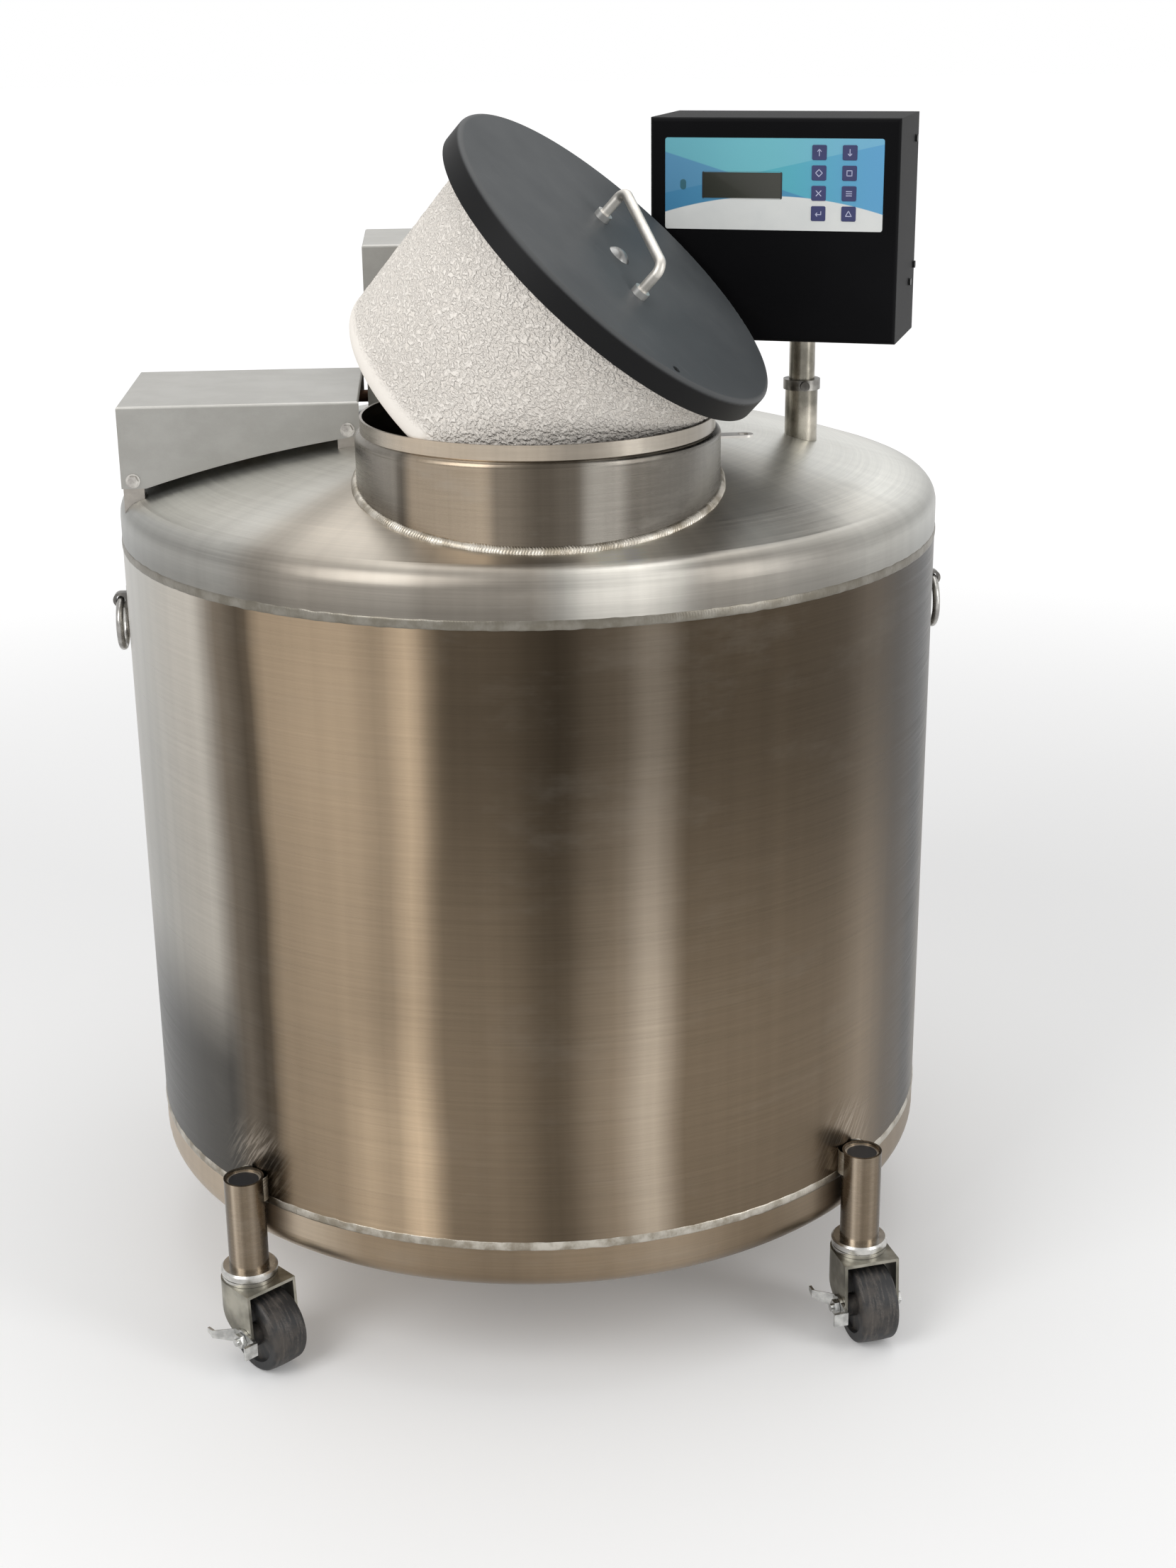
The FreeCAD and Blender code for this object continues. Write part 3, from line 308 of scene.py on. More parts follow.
@dataclass(frozen=True)
class SpunSteel(Finish):
    """Stainless brushed round an upright axis, with soft upright bands of painted reflection, lighter and darker.

    A band has its turn in degrees from the front, its painted brightness, and its warmth from 0 (grey) to 1
    (brown). Shades lay fields of painted shade on the steel, and fields of painted highlight where their share is
    below 0.
    """

    reflection_bands: tuple[ReflectionBand, ...]
    centre: tuple[float, float] = (0.0, 0.0)
    roughness: float = 0.30
    grain: float = 0.22
    scuffs: float = 0.25
    anisotropy: float = 0.5
    drift: float = 0.34
    shades: tuple[Shade, ...] = ()
    strokes: float = 0.0

    def draw(self) -> None:
        """Wire the finish."""
        board = self.board
        turn, radius, z = board.polar(self.centre)
        fine = board.grain(turn * 12, radius * 340, z * 340, 5.0, 0.75)
        broad = board.grain(turn * 11, radius * 7, z * 1.6)
        streaks = board.grain(turn * 150, 0.0, z * 0.9)
        shifted = turn + (board.grain(turn * 5, 3.0, z * 1.8) - 0.5) * 0.012
        # Painted reflections: the bands lay lighter and darker upright stripes round the axis.
        tone = board.ramp(shifted, self.tones())
        # Thin upright streaks of painted reflection, with random broad drift and fine grain, lift or lower the
        # tone.
        lift = 1.0 - self.drift / 2 + broad * self.drift + (streaks - 0.5) * 0.22
        lift = lift + (fine - 0.5) * (self.grain * 2)
        # Fields of painted shade darken the steel; a field whose share is below 0 is a painted highlight.
        for shade in self.shades:
            lift = lift * (1.0 - shade.mask(board, shifted, z) * shade.by)
        tone = board.dimmed(tone, lift)
        patch = board.step(board.noise(7.0, 5.0, 0.65, board.place((1, 1, 2.5))), 0.50, 0.78)
        tone = board.mix(patch * self.scuffs, tone, (0.42, 0.395, 0.35))
        if self.strokes:
            tone = board.mix(self.ground(board, turn, z) * self.strokes, tone, (0.62, 0.54, 0.45))
        rough = self.roughness + (fine - 0.5) * 0.2 + patch * (self.scuffs * 0.4)
        tangent = board.wire("ShaderNodeTangent", {}, direction_type="RADIAL", axis="Z")
        board.finish(Base_Color=tone, Metallic=1.0, Roughness=rough, Anisotropic=self.anisotropy,
                     Tangent=tangent, Normal=board.bump(fine, 0.0001, 0.6))

    def tones(self) -> list[tuple[float, Colour]]:
        """Turn the painted reflection bands into stops of steel colour.

        Returns:
            Positions from 0 to 1 with their colours.
        """
        stops = []
        for degrees, light, warm in self.reflection_bands:
            tint = (light, light * (0.995 - 0.235 * warm), light * (0.935 - 0.42 * warm))
            stops.append((0.5 + degrees / 360, tint))
        return stops

    @staticmethod
    def ground(board: Board, turn: Value, z: Value, leg_top: float = 0.262, reach: float = 0.085) -> Value:
        """Short slanting strokes of the grinder on the shell, above and beside each leg's welds.

        Args:
            board: the material's board.
            turn: turn from 0 to 1 about the shell.
            z: height.
            leg_top: where the strokes gather, in metres.
            reach: how far they run from there.

        Returns:
            How much of the strokes shows.
        """
        sector = board.maths("FRACT", turn * 4) - 0.5
        aside = sector * (2 * math.pi * SHELL_R / 4)
        above = z - leg_top
        across = aside * 0.8 - above * 0.6
        along = aside * 0.6 + above * 0.8
        lines = board.grain(across * 260, along * 16, 0.0, 3.0, 0.6)
        near = board.step(board.length(aside, above) + lines * 0.05, reach + 0.02, 0.03)
        return near * board.step(lines, 0.46, 0.62)


@dataclass(frozen=True)
class PlainSteel(Finish):
    """Steel of a small part: fine grain one way, light and dark patches."""

    base: Colour = (0.62, 0.60, 0.56)
    shade: Colour = (0.42, 0.40, 0.37)
    roughness: float = 0.28
    swept: Swept = Swept.LEVEL
    patch_scale: float = 28.0
    grain: float = 0.12

    def draw(self) -> None:
        """Wire the finish."""
        board = self.board
        stretch = {Swept.LEVEL: (60, 60, 2600), Swept.UPRIGHT: (2600, 2600, 60), Swept.AROUND: (900, 900, 900)}
        fine = board.noise(1.0, 4.0, 0.6, board.place(stretch[self.swept]))
        broad = board.step(board.noise(self.patch_scale, 3.0), 0.30, 0.72)
        tone = board.mix(broad, self.shade, self.base)
        lift = 1.0 - self.grain + fine * (self.grain * 2)
        tone = board.dimmed(tone, lift)
        rough = self.roughness - 0.05 + fine * 0.16
        board.finish(Base_Color=tone, Metallic=1.0, Roughness=rough, Normal=board.bump(fine, 0.00005, 0.5))


@dataclass(frozen=True)
class WeldSteel(Finish):
    """Unground weld with a straw and grey heat tint, brighter above one height and below another."""

    crest: Colour = (0.235, 0.220, 0.190)
    tint: Colour = (0.165, 0.150, 0.122)
    bright_crest: Colour = (0.66, 0.62, 0.55)
    bright_tint: Colour = (0.32, 0.28, 0.22)
    above: tuple[float, float] = (1.050, 1.060)
    below: tuple[float, float] = (0.310, 0.300)

    def draw(self) -> None:
        """Wire the finish."""
        board = self.board
        _, _, z = board.axes(board.coords)
        bright = board.maths("MAXIMUM", board.step(z, *self.above), board.step(z, *self.below) * 0.75)
        patch = board.step(board.noise(30.0, 4.0, 0.65), 0.35, 0.66)
        grit = board.noise(620.0, 3.0, 0.7)
        tint = board.mix(bright, self.tint, self.bright_tint)
        tone = board.mix(patch, tint, board.mix(bright, self.crest, self.bright_crest))
        board.finish(Base_Color=tone, Metallic=1.0, Roughness=0.28 + grit * 0.2,
                     Normal=board.bump(grit, 0.00015, 0.5))


@dataclass(frozen=True)
class PowderCoat(Finish):
    """Fine-textured powder coat with a faint sparkle and paler clouds."""

    base: Colour = (0.018, 0.018, 0.020)
    pale: Colour = (0.045, 0.046, 0.050)
    roughness: float = 0.46
    gloss: float = 0.5
    pimple: float = 1500.0
    depth: float = 0.00012

    def draw(self) -> None:
        """Wire the finish."""
        board = self.board
        grit = board.noise(self.pimple, 2.0, 0.6)
        cloud = board.step(board.noise(6.0, 3.0), 0.30, 0.75)
        sparkle = board.step(grit, 0.62, 0.78)
        tone = board.mix(cloud * 0.35, self.base, self.pale)
        tone = board.mix(sparkle * 0.5, tone, self.pale)
        rough = self.roughness + (grit - 0.5) * 0.2
        board.finish(Base_Color=tone, Roughness=rough, Specular_IOR_Level=self.gloss,
                     Normal=board.bump(grit, self.depth, 0.6))


@dataclass(frozen=True)
class LidCoat(Finish):
    """Slate powder coat of the lid: cloudy top, near-black side band and a painted highlight as a paler line
    along the rolled edge.
    """

    centre: Place
    turn: float
    tilt: float
    radius: float
    height: float

    def draw(self) -> None:
        """Wire the finish."""
        board = self.board
        x, y, z = board.axes(board.place((1, 1, 1), self.centre, self.turn, self.tilt))
        across = board.length(x, y)
        top = board.step(z, self.height - 0.0045, self.height - 0.0015)
        # Painted highlight: a paler line along the rolled edge of the top.
        edge = board.step(across, self.radius - 0.0075, self.radius - 0.0045)
        edge = edge * board.step(z, self.height - 0.006, self.height - 0.002)
        grit = board.noise(1500.0, 2.0, 0.6)
        cloud = board.step(board.noise(6.0, 4.0, 0.6), 0.32, 0.70)
        stretched = board.place((1, 6, 1), self.centre, self.turn)
        scuff = board.step(board.noise(14.0, 5.0, 0.7, stretched), 0.60, 0.76)
        slate = board.mix(cloud, (0.052, 0.057, 0.060), (0.074, 0.079, 0.082))
        slate = board.mix(scuff * 0.3, slate, (0.13, 0.135, 0.138))
        tone = board.mix(top, (0.0022, 0.0022, 0.0026), slate)
        tone = board.mix(edge * 0.7, tone, (0.085, 0.087, 0.088))
        speck = board.step(grit, 0.64, 0.80)
        tone = board.mix(speck * 0.3, tone, (0.09, 0.092, 0.095))
        board.finish(Base_Color=tone, Roughness=0.50, Specular_IOR_Level=0.18,
                     Normal=board.bump(grit, 0.00012, 0.6))


@dataclass(frozen=True)
class FoamSkin(Finish):
    """Moulded foam: warm white, with painted shade in its dimples, dust and a few rubbed patches."""

    centre: Place
    turn: float
    tilt: float
    base: Colour = (0.89, 0.84, 0.775)
    dust_and_shade: Colour = (0.60, 0.54, 0.47)

    def draw(self) -> None:
        """Wire the finish."""
        board = self.board
        own = board.place((1, 1, 1.2), self.centre, self.turn, self.tilt)
        skinned = board.step(board.axes(own)[2], -0.268, -0.250)
        peel = board.step(board.noise(205.0, 2.0, 0.5, own), 0.34, 0.66)
        pores = board.noise(900.0, 2.0, 0.6)
        cloud = board.step(board.noise(7.0, 4.0, 0.6), 0.45, 0.80)
        speck = board.step(board.noise(70.0, 4.0, 0.75), 0.655, 0.7) * cloud
        # Painted shade darkens the hollows of the dimples, except on the smooth foot; the clouds in the same
        # colour are dust.
        hollow_shade = (1.0 - peel) * (skinned * 0.2)
        tone = board.mix(hollow_shade, self.base, self.dust_and_shade)
        tone = board.mix(cloud * 0.16, tone, self.dust_and_shade)
        tone = board.mix(speck * 0.7, tone, (0.24, 0.18, 0.12))
        relief = board.bump(peel * skinned, 0.0026, 1.0)
        board.finish(Base_Color=tone, Roughness=0.78, Normal=board.bump(pores, 0.0001, 0.5, relief))


@dataclass(frozen=True)
class FoldedSheet(Finish):
    """Satin sheet metal with a cloudy, spangled grain, and painted shade on the walls below its top."""

    base: Colour = (0.505, 0.495, 0.465)
    cloud: Colour = (0.455, 0.445, 0.415)
    roughness: float = 0.42
    top: float = 0.0
    wall_shade: float = 0.26

    def draw(self) -> None:
        """Wire the finish."""
        board = self.board
        grain = board.noise(620.0, 4.0, 0.7)
        blotch = board.noise(16.0, 5.0, 0.65, board.place((1, 1, 1.4)))
        tone = board.mix(board.step(blotch, 0.32, 0.70), self.cloud, self.base)
        lift = 0.93 + grain * 0.14
        # Painted shade: walls below the top are darker than the top, where less light falls.
        if self.top:
            shaded_walls = board.step(board.axes(board.coords)[2], self.top - 0.002, self.top - 0.004)
            lift = lift * (1.0 - shaded_walls * self.wall_shade)
        tone = board.dimmed(tone, lift)
        rough = self.roughness + (grain - 0.5) * 0.16
        board.finish(Base_Color=tone, Metallic=0.9, Roughness=rough, Normal=board.bump(grain, 0.00005, 0.4))


@dataclass(frozen=True)
class WheelRubber(Finish):
    """Hard dark tread: streaks round the wheel, paler rubbed patches."""

    hub: Place
    turn: float
    base: Colour = (0.014, 0.014, 0.015)
    worn: Colour = (0.125, 0.108, 0.092)

    def draw(self) -> None:
        """Wire the finish."""
        board = self.board
        local = board.place((1, 1, 1), self.hub, self.turn)
        x, y, z = board.axes(local)
        around = board.maths("ARCTAN2", x, z)
        streak = board.grain(around * 1.2, y * 190, 0.0, 4.0, 0.6)
        patch = board.step(board.noise(26.0, 4.0, 0.6, local), 0.46, 0.68)
        dust = board.step(board.noise(700.0, 2.0, 0.6, local), 0.40, 0.62)
        mark = board.step(streak, 0.46, 0.62) * (0.2 + dust * 0.4)
        tone = board.mix(mark, self.base, self.worn)
        tone = board.mix(patch * 0.45, tone, self.worn)
        rough = 0.5 + patch * 0.2
        board.finish(Base_Color=tone, Roughness=rough, Normal=board.bump(streak, 0.0004, 0.5))


@dataclass(frozen=True)
class PanelPrint(Finish):
    """Printed membrane: teal and blue above a pale lower field, in the panel's own axes."""

    origin: Place
    turn: float
    width: float = 273.0 * MM

    def draw(self) -> None:
        """Wire the finish."""
        board = self.board
        x, _, z = board.axes(board.place((1, 1, 1), self.origin, self.turn))
        across = x / self.width + 0.5
        upper = board.ramp(across, ((0.0, (0.05, 0.33, 0.42)), (0.45, (0.08, 0.42, 0.50)),
                                    (1.0, (0.10, 0.34, 0.58))))
        sweep = z + x * -0.22
        light = board.step(sweep, 0.018, 0.019) * 0.3
        upper = board.mix(light, upper, (0.30, 0.62, 0.68))
        deep = board.step(z + x * 0.3, -0.002, -0.004) * 0.55
        upper = board.mix(deep, upper, (0.045, 0.14, 0.40))
        edge = z + x * x * 1.1
        pale = board.mix(board.noise(40.0, 3.0), (0.66, 0.68, 0.67), (0.76, 0.77, 0.75))
        tone = board.mix(board.step(edge, -0.0135, -0.0145), upper, pale)
        weave = board.noise(2200.0, 2.0)
        board.finish(Base_Color=tone, Roughness=0.38, Normal=board.bump(weave, 0.00003, 0.4))


@dataclass(frozen=True)
class Plain(Finish):
    """A quiet moulded or drawn surface with a little grain and cloudiness."""

    base: Colour
    shade: Colour
    roughness: float = 0.45
    metallic: float = 0.0
    scale: float = 400.0
    depth: float = 0.00004

    def draw(self) -> None:
        """Wire the finish."""
        board = self.board
        grain = board.noise(self.scale, 3.0, 0.6)
        cloud = board.step(board.noise(20.0, 3.0), 0.3, 0.7)
        tone = board.mix(cloud, self.shade, self.base)
        rough = self.roughness - 0.05 + grain * 0.1
        board.finish(Base_Color=tone, Metallic=self.metallic, Roughness=rough,
                     Normal=board.bump(grain, self.depth, 0.5))


@dataclass(frozen=True)
class CapFace(Finish):
    """Black plug cap of a leg tube, with the tube's bright inner lip round it."""

    reach: float
    dark_r: float = 19.3 * MM

    def draw(self) -> None:
        """Wire the finish."""
        board = self.board
        x, y, _ = board.axes(board.coords)
        off = [board.maths("ABSOLUTE", axis) - self.reach for axis in (x, y)]
        across = board.length(*off)
        lip = board.step(across, self.dark_r - 0.0004, self.dark_r + 0.0004)
        grain = board.noise(900.0, 3.0, 0.6)
        dark = board.mix(grain, (0.010, 0.010, 0.012), (0.022, 0.022, 0.024))
        board.finish(Base_Color=board.mix(lip, dark, (0.62, 0.57, 0.50)), Metallic=lip, Roughness=0.42,
                     Normal=board.bump(grain, 0.0001, 0.5))


@dataclass(frozen=True)
class ClearWindow(Finish):
    """Display window: grey-green glass film with a soft lighter sweep."""

    origin: Place
    turn: float

    def draw(self) -> None:
        """Wire the finish."""
        board = self.board
        x, _, z = board.axes(board.place((1, 1, 1), self.origin, self.turn))
        sweep = board.step(x + z * 0.6, -0.06, 0.06)
        tone = board.mix(sweep, (0.026, 0.028, 0.021), (0.052, 0.052, 0.043))
        grain = board.noise(1200.0, 2.0)
        board.finish(Base_Color=tone, Roughness=0.22, Specular_IOR_Level=0.25, Coat_Weight=0.2,
                     Coat_Roughness=0.05, Normal=board.bump(grain, 0.00001, 0.3))


def dress(finish: Finish, *nodes: str) -> None:
    """Give CAD nodes a finish.

    Args:
        finish: the finish, not yet built.
        nodes: the nodes' names.
    """
    material = finish.build()
    for name in nodes:
        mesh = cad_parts[name].data
        if not mesh.materials:
            mesh.materials.append(material)
        for index in range(len(mesh.materials)):
            mesh.materials[index] = material
        LOG.info("dressed %s with %s", name, material.name)


def stand(name: str, data: Any) -> bpy.types.Object:
    """Put a thing into the scene.

    Args:
        name: its name.
        data: its mesh, lamp or camera.

    Returns:
        The new object.
    """
    made = bpy.data.objects.new(name, data)
    bpy.context.scene.collection.objects.link(made)
    return made


def piece(name: str, bm: bmesh.types.BMesh, material: bpy.types.Material, body: str,
          smooth: bool = True) -> bpy.types.Object:
    """Turn a bmesh into a piece that rides on a body.

    Args:
        name: the piece's name.
        bm: its geometry, in place; it is freed.
        material: its finish.
        body: the body it rides on.
        smooth: whether its faces are shaded smooth.

    Returns:
        The new object.
    """
    mesh = bpy.data.meshes.new(name)
    for face in bm.faces:
        face.smooth = smooth
    bm.to_mesh(mesh)
    bm.free()
    mesh.materials.append(material)
    made = stand(name, mesh)
    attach(made, body)
    LOG.info("made %s: %d faces on %s", name, len(mesh.polygons), body)
    return made


def lattice(columns: int, rows: int, spot: Callable[[float, int], Vector]) -> bmesh.types.BMesh:
    """Make a sheet of quads and lay each of its corners.

    Args:
        columns: quads along the sheet.
        rows: quads across it.
        spot: place of a corner, from its share of the length (0 to 1) and its row.

    Returns:
        The sheet.
    """
    bm = bmesh.new()
    bmesh.ops.create_grid(bm, x_segments=columns, y_segments=rows, size=0.5)
    for vert in bm.verts:
        vert.co = spot(vert.co.x + 0.5, round((vert.co.y + 0.5) * rows))
    return bm


def turned(profile: Sequence[tuple[float, float]], steps: int) -> bmesh.types.BMesh:
    """Turn an open profile about the Z axis.

    Args:
        profile: radius and height pairs.
        steps: faces in a full turn.

    Returns:
        The turned surface.
    """
    def spot(share: float, row: int) -> Vector:
        """Place of a corner."""
        radius, height = profile[row]
        return Vector((radius * math.cos(2 * math.pi * share), radius * math.sin(2 * math.pi * share), height))

    bm = lattice(steps, len(profile) - 1, spot)
    bmesh.ops.remove_doubles(bm, verts=[vert for vert in bm.verts if vert.is_boundary], dist=1e-7)
    bmesh.ops.recalc_face_normals(bm, faces=bm.faces)
    return bm


@dataclass
class Vessel:
    """The outer vessel: shell, dished heads, neck, weld beads and inner parts."""

    shell_r: float = SHELL_R
    bead_proud: float = 1.2 * MM
    bead_half: float = 5.8 * MM
    seams: tuple[float, float] = (217.0 * MM, 1005.0 * MM)
    crown: float = 1611.0 * MM
    apex: float = 1153.9 * MM
    neck: tuple[float, float] = (0.0, NECK_Y)
    collar_r: float = 218.5 * MM
    neck_weld: float = 6.8 * MM
    ripple: float = 3.4 * MM
    leg_r: float = 25.4 * MM
    leg_top: float = 255.7 * MM
    leg_bead_aside: float = 0.015
    leg_bead_bulge: float = 0.0022
    rows: int = 8
    weld: bpy.types.Material = field(init=False)

    def build(self) -> None:
        """Dress the vessel and lay its weld beads."""
        self.weld = WeldSteel("weld_steel").build()
        # Painted reflections: upright bands of lighter and darker steel round the shell.
        shell_reflection_bands = (
            (-180, 0.28, 0.8), (-150, 0.20, 0.9), (-128, 0.36, 0.7), (-108, 0.20, 0.9), (-90, 0.36, 0.2),
            (-70, 0.37, 0.1), (-52, 0.43, 0.3), (-46, 0.13, 0.8), (-41.5, 0.06, 1.0), (-38, 0.27, 1.0),
            (-27, 0.32, 1.0), (-22, 0.24, 1.0), (-18, 0.40, 1.0), (-14, 0.19, 1.0), (-8, 0.19, 1.0),
            (0, 0.10, 1.0), (7, 0.25, 0.9), (12, 0.47, 0.7), (17, 0.18, 1.0), (30, 0.17, 1.0), (41, 0.17, 1.0),
            (48, 0.24, 0.9), (58, 0.10, 0.9), (66, 0.02, 0.9), (74, 0.12, 0.6), (81, 0.46, 0.1),
            (92, 0.24, 0.5), (112, 0.36, 0.6), (140, 0.20, 0.9), (180, 0.28, 0.8))
        # Painted shade, darker high on the right and low on the left, and a painted highlight low on the front
        # left.
        shell_shades = (Shade(0.66, 0.36, 0.92, (-15.5, 110), (3, 30)),
                        Shade(0.84, 0.56, 0.37, (-120, -47), (20, 3)),
                        Shade(-0.6, 0.55, 0.33, (-27, -16), (3, 3)))
        dress(SpunSteel("shell_steel", shell_reflection_bands, scuffs=0.05, shades=shell_shades, strokes=0.45),
              "outer_shell")
        head_reflection_bands = (
            # Painted reflections: upright bands round the top head.
            (-180, 0.52, 0.1), (-75, 0.64, 0.0), (-45, 0.62, 0.1), (-38, 0.42, 0.4), (-32, 0.58, 0.4),
            (-19, 0.62, 0.35), (-15, 0.50, 0.4), (-3, 0.50, 0.4), (2, 0.84, 0.15), (14, 0.86, 0.15),
            (20, 0.54, 0.3), (36, 0.60, 0.2), (50, 0.88, 0.1), (64, 0.92, 0.0), (90, 0.78, 0.0),
            (130, 0.56, 0.1), (180, 0.52, 0.1))
        # Painted shade on the knuckle and towards the seam, and a painted highlight on the knuckle at the front.
        head_shades = (Shade(0.56, 1.086, 1.052), Shade(-0.9, 1.092, 1.062, (3, 14), (3, 4)),
                       Shade(0.26, 1.045, 1.012))
        dress(SpunSteel("head_steel", head_reflection_bands, roughness=0.36, scuffs=0.18, anisotropy=0.2, drift=0.14,
                        shades=head_shades), "top_head")
        bottom_reflection_bands = (
            # Painted reflections: upright bands round the bottom head.
            (-180, 0.30, 0.9), (-60, 0.48, 0.7), (-40, 0.58, 0.7), (-25, 0.30, 1.0), (-8, 0.22, 1.0),
            (4, 0.27, 1.0), (14, 0.34, 0.9), (28, 0.20, 1.0), (44, 0.30, 0.8), (70, 0.26, 0.9),
            (180, 0.30, 0.9))
        dress(SpunSteel("bottom_steel", bottom_reflection_bands, roughness=0.34, scuffs=0.1), "bottom_head")
        neck_reflection_bands = (
            # Painted reflections: upright bands round the neck collar.
            (-180, 0.30, 0.4), (-90, 0.32, 0.3), (-64, 0.19, 0.4), (-52, 0.21, 0.4), (-48, 0.10, 0.6),
            (-43, 0.29, 0.8), (-20, 0.33, 0.8), (-15, 0.17, 0.7), (-2, 0.085, 0.7), (7, 0.11, 0.6),
            (13, 0.30, 0.3), (20, 0.26, 0.3), (26, 0.12, 0.4), (46, 0.13, 0.3), (62, 0.18, 0.2),
            (84, 0.14, 0.3), (120, 0.30, 0.4), (180, 0.30, 0.4))
        dress(SpunSteel("collar_steel", neck_reflection_bands, self.neck, 0.27, anisotropy=0.6), "neck_collar")
        rim_reflection_bands = (
            # Painted reflections: upright bands round the neck tube.
            (-180, 0.40, 0.3), (-70, 0.34, 0.4), (-40, 0.46, 0.7), (-8, 0.40, 0.6), (8, 0.26, 0.5),
            (30, 0.34, 0.4), (60, 0.26, 0.4), (110, 0.40, 0.3), (180, 0.40, 0.3))
        dress(SpunSteel("neck_steel", rim_reflection_bands, self.neck, 0.22), "neck_tube")
        inner_reflection_bands = (
            # Painted reflections: faint bands round the inner vessel.
            (-180, 0.46, 0.2), (-60, 0.50, 0.2), (60, 0.44, 0.2), (180, 0.46, 0.2))
        dress(SpunSteel("inner_steel", inner_reflection_bands, roughness=0.35, anisotropy=0.2), "inner_vessel")
        dress(Plain("foil", (0.75, 0.75, 0.74), (0.55, 0.55, 0.54), 0.3, 1.0, 60.0, 0.002), "insulation_wrap")
        dress(Plain("laminate", (0.42, 0.34, 0.2), (0.33, 0.26, 0.15), 0.5), "inner_support")
        dress(PlainSteel("tray_metal", (0.66, 0.67, 0.68), (0.52, 0.53, 0.54), 0.35, Swept.LEVEL, 12.0),
              "carousel_tray", "carousel_stand")
        dress(PlainSteel("tab_steel"), "lock_tab")
        self.lay_ring_beads()
        self.lay_leg_beads()

    def dome(self, x: float, y: float) -> float:
        """Height of the top head's skin, in metres."""
        return self.apex - self.crown + math.sqrt(self.crown ** 2 - x * x - y * y)

    def wave(self, along: float, across: float) -> float:
        """Height of a weld's crescent ripples, from 0 to 1.

        Args:
            along: distance along the weld, in metres.
            across: place across it, from -1 to 1.

        Returns:
            The ripple's height.
        """
        wander = noise.noise(Vector((along * 90, 3.7, 0)))
        phase = along / self.ripple + 0.55 * across * across + 0.8 * wander
        size = 0.75 + 0.5 * noise.noise(Vector((along * 40, 9.1, 0)))
        return (0.5 + 0.5 * math.sin(2 * math.pi * phase)) * size

    def lay_ring_beads(self) -> None:
        """Lay the two seam beads and the bead round the neck's foot."""
        whole = bmesh.new()
        rows = self.rows
        for seam in self.seams:
            profile = [(self.shell_r, seam + self.bead_half * math.cos(math.pi * k / rows))
                       for k in range(rows + 1)]
            steps = int(2 * math.pi * self.shell_r / self.ripple * 4)
            ring = turned(profile, steps)
            for vert in ring.verts:
                along = (math.atan2(vert.co.y, vert.co.x) + math.pi) * self.shell_r
                across = (vert.co.z - seam) / self.bead_half
                rise = math.sqrt(max(0.0, 1 - across * across))
                proud = self.bead_proud * rise * (0.82 + 0.18 * min(1.0, self.wave(along, across))) - 0.0002
                flat = Vector((vert.co.x, vert.co.y, 0)).normalized()
                vert.co += flat * proud
                vert.co.z += 0.0009 * noise.noise(Vector((along * 60, across, 5.0)))
            self.merge(whole, ring)
        profile = [(self.collar_r - 0.0004, self.neck_weld)]
        profile += [(self.collar_r + self.neck_weld * math.sin(math.pi / 2 * k / rows),
                     self.neck_weld * math.cos(math.pi / 2 * k / rows)) for k in range(rows + 1)]
        ring = turned(profile, int(2 * math.pi * self.collar_r / self.ripple * 4))
        for vert in ring.verts:
            along = (math.atan2(vert.co.y, vert.co.x) + math.pi) * self.collar_r
            radius = math.hypot(vert.co.x, vert.co.y)
            across = (radius - self.collar_r) / self.neck_weld * 2 - 1
            size = 0.78 + 0.22 * min(1.0, self.wave(along, across))
            flat = Vector((vert.co.x, vert.co.y, 0)).normalized()
            height = vert.co.z * size
            vert.co = flat * (self.collar_r + (radius - self.collar_r) * size)
            vert.co.y += self.neck[1]
            vert.co.z = self.dome(vert.co.x, vert.co.y) + height
        self.merge(whole, ring)
        made = piece("weld_bead_rings", whole, self.weld, "vessel")
        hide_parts("weld_beads")

    @staticmethod
    def merge(whole: bmesh.types.BMesh, part: bmesh.types.BMesh) -> None:
        """Copy one bmesh into another and free it.

        Args:
            whole: the bmesh that grows.
            part: the bmesh that is added.
        """
        mesh = bpy.data.meshes.new("part")
        part.to_mesh(mesh)
        part.free()
        whole.from_mesh(mesh)
        bpy.data.meshes.remove(mesh)

    def lay_leg_beads(self) -> None:
        """Lay the two upright beads that join each leg tube to the shell."""
        whole = bmesh.new()
        rows = self.rows
        leg_at = self.shell_r + self.bead_proud + self.leg_r
        low = self.seams[0] + self.bead_half
        high = self.leg_top
        steps = int((high - low) / self.ripple * 8)
        for corner in range(4):
            turn = math.pi / 4 + corner * math.pi / 2
            for side in (-1, 1):
                aside = self.leg_bead_aside
                shell_at = Vector((math.sqrt(self.shell_r ** 2 - aside ** 2), side * aside, 0))
                tube_at = Vector((leg_at - self.leg_r * 0.50, side * self.leg_r * 0.866, 0))
                bulge = Vector((-0.10, side, 0)).normalized() * self.leg_bead_bulge
                columns = []
                for k in range(rows + 1):
                    foot = shell_at.lerp(tube_at, k / rows) + bulge * math.sin(math.pi * k / rows)
                    columns.append((foot, bulge.normalized(), k / rows * 2 - 1))

                def spot(share: float, row: int) -> Vector:
                    """Place of a corner of the bead.

                    Args:
                        share: how far up the bead it is, from 0 to 1.
                        row: its row across the bead.

                    Returns:
                        The place.
                    """
                    foot, out, across = columns[row]
                    z = low + (high - low) * share
                    lift = 0.0011 * self.wave(z + corner + side * 0.3, across) * (1 - across * across)
                    return Matrix.Rotation(turn, 3, "Z") @ (foot + out * lift + Vector((0, 0, z)))

                self.merge(whole, lattice(steps, rows, spot))
        bmesh.ops.recalc_face_normals(whole, faces=whole.faces)
        made = piece("leg_bead_runs", whole, self.weld, "vessel")
        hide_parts("leg_welds")


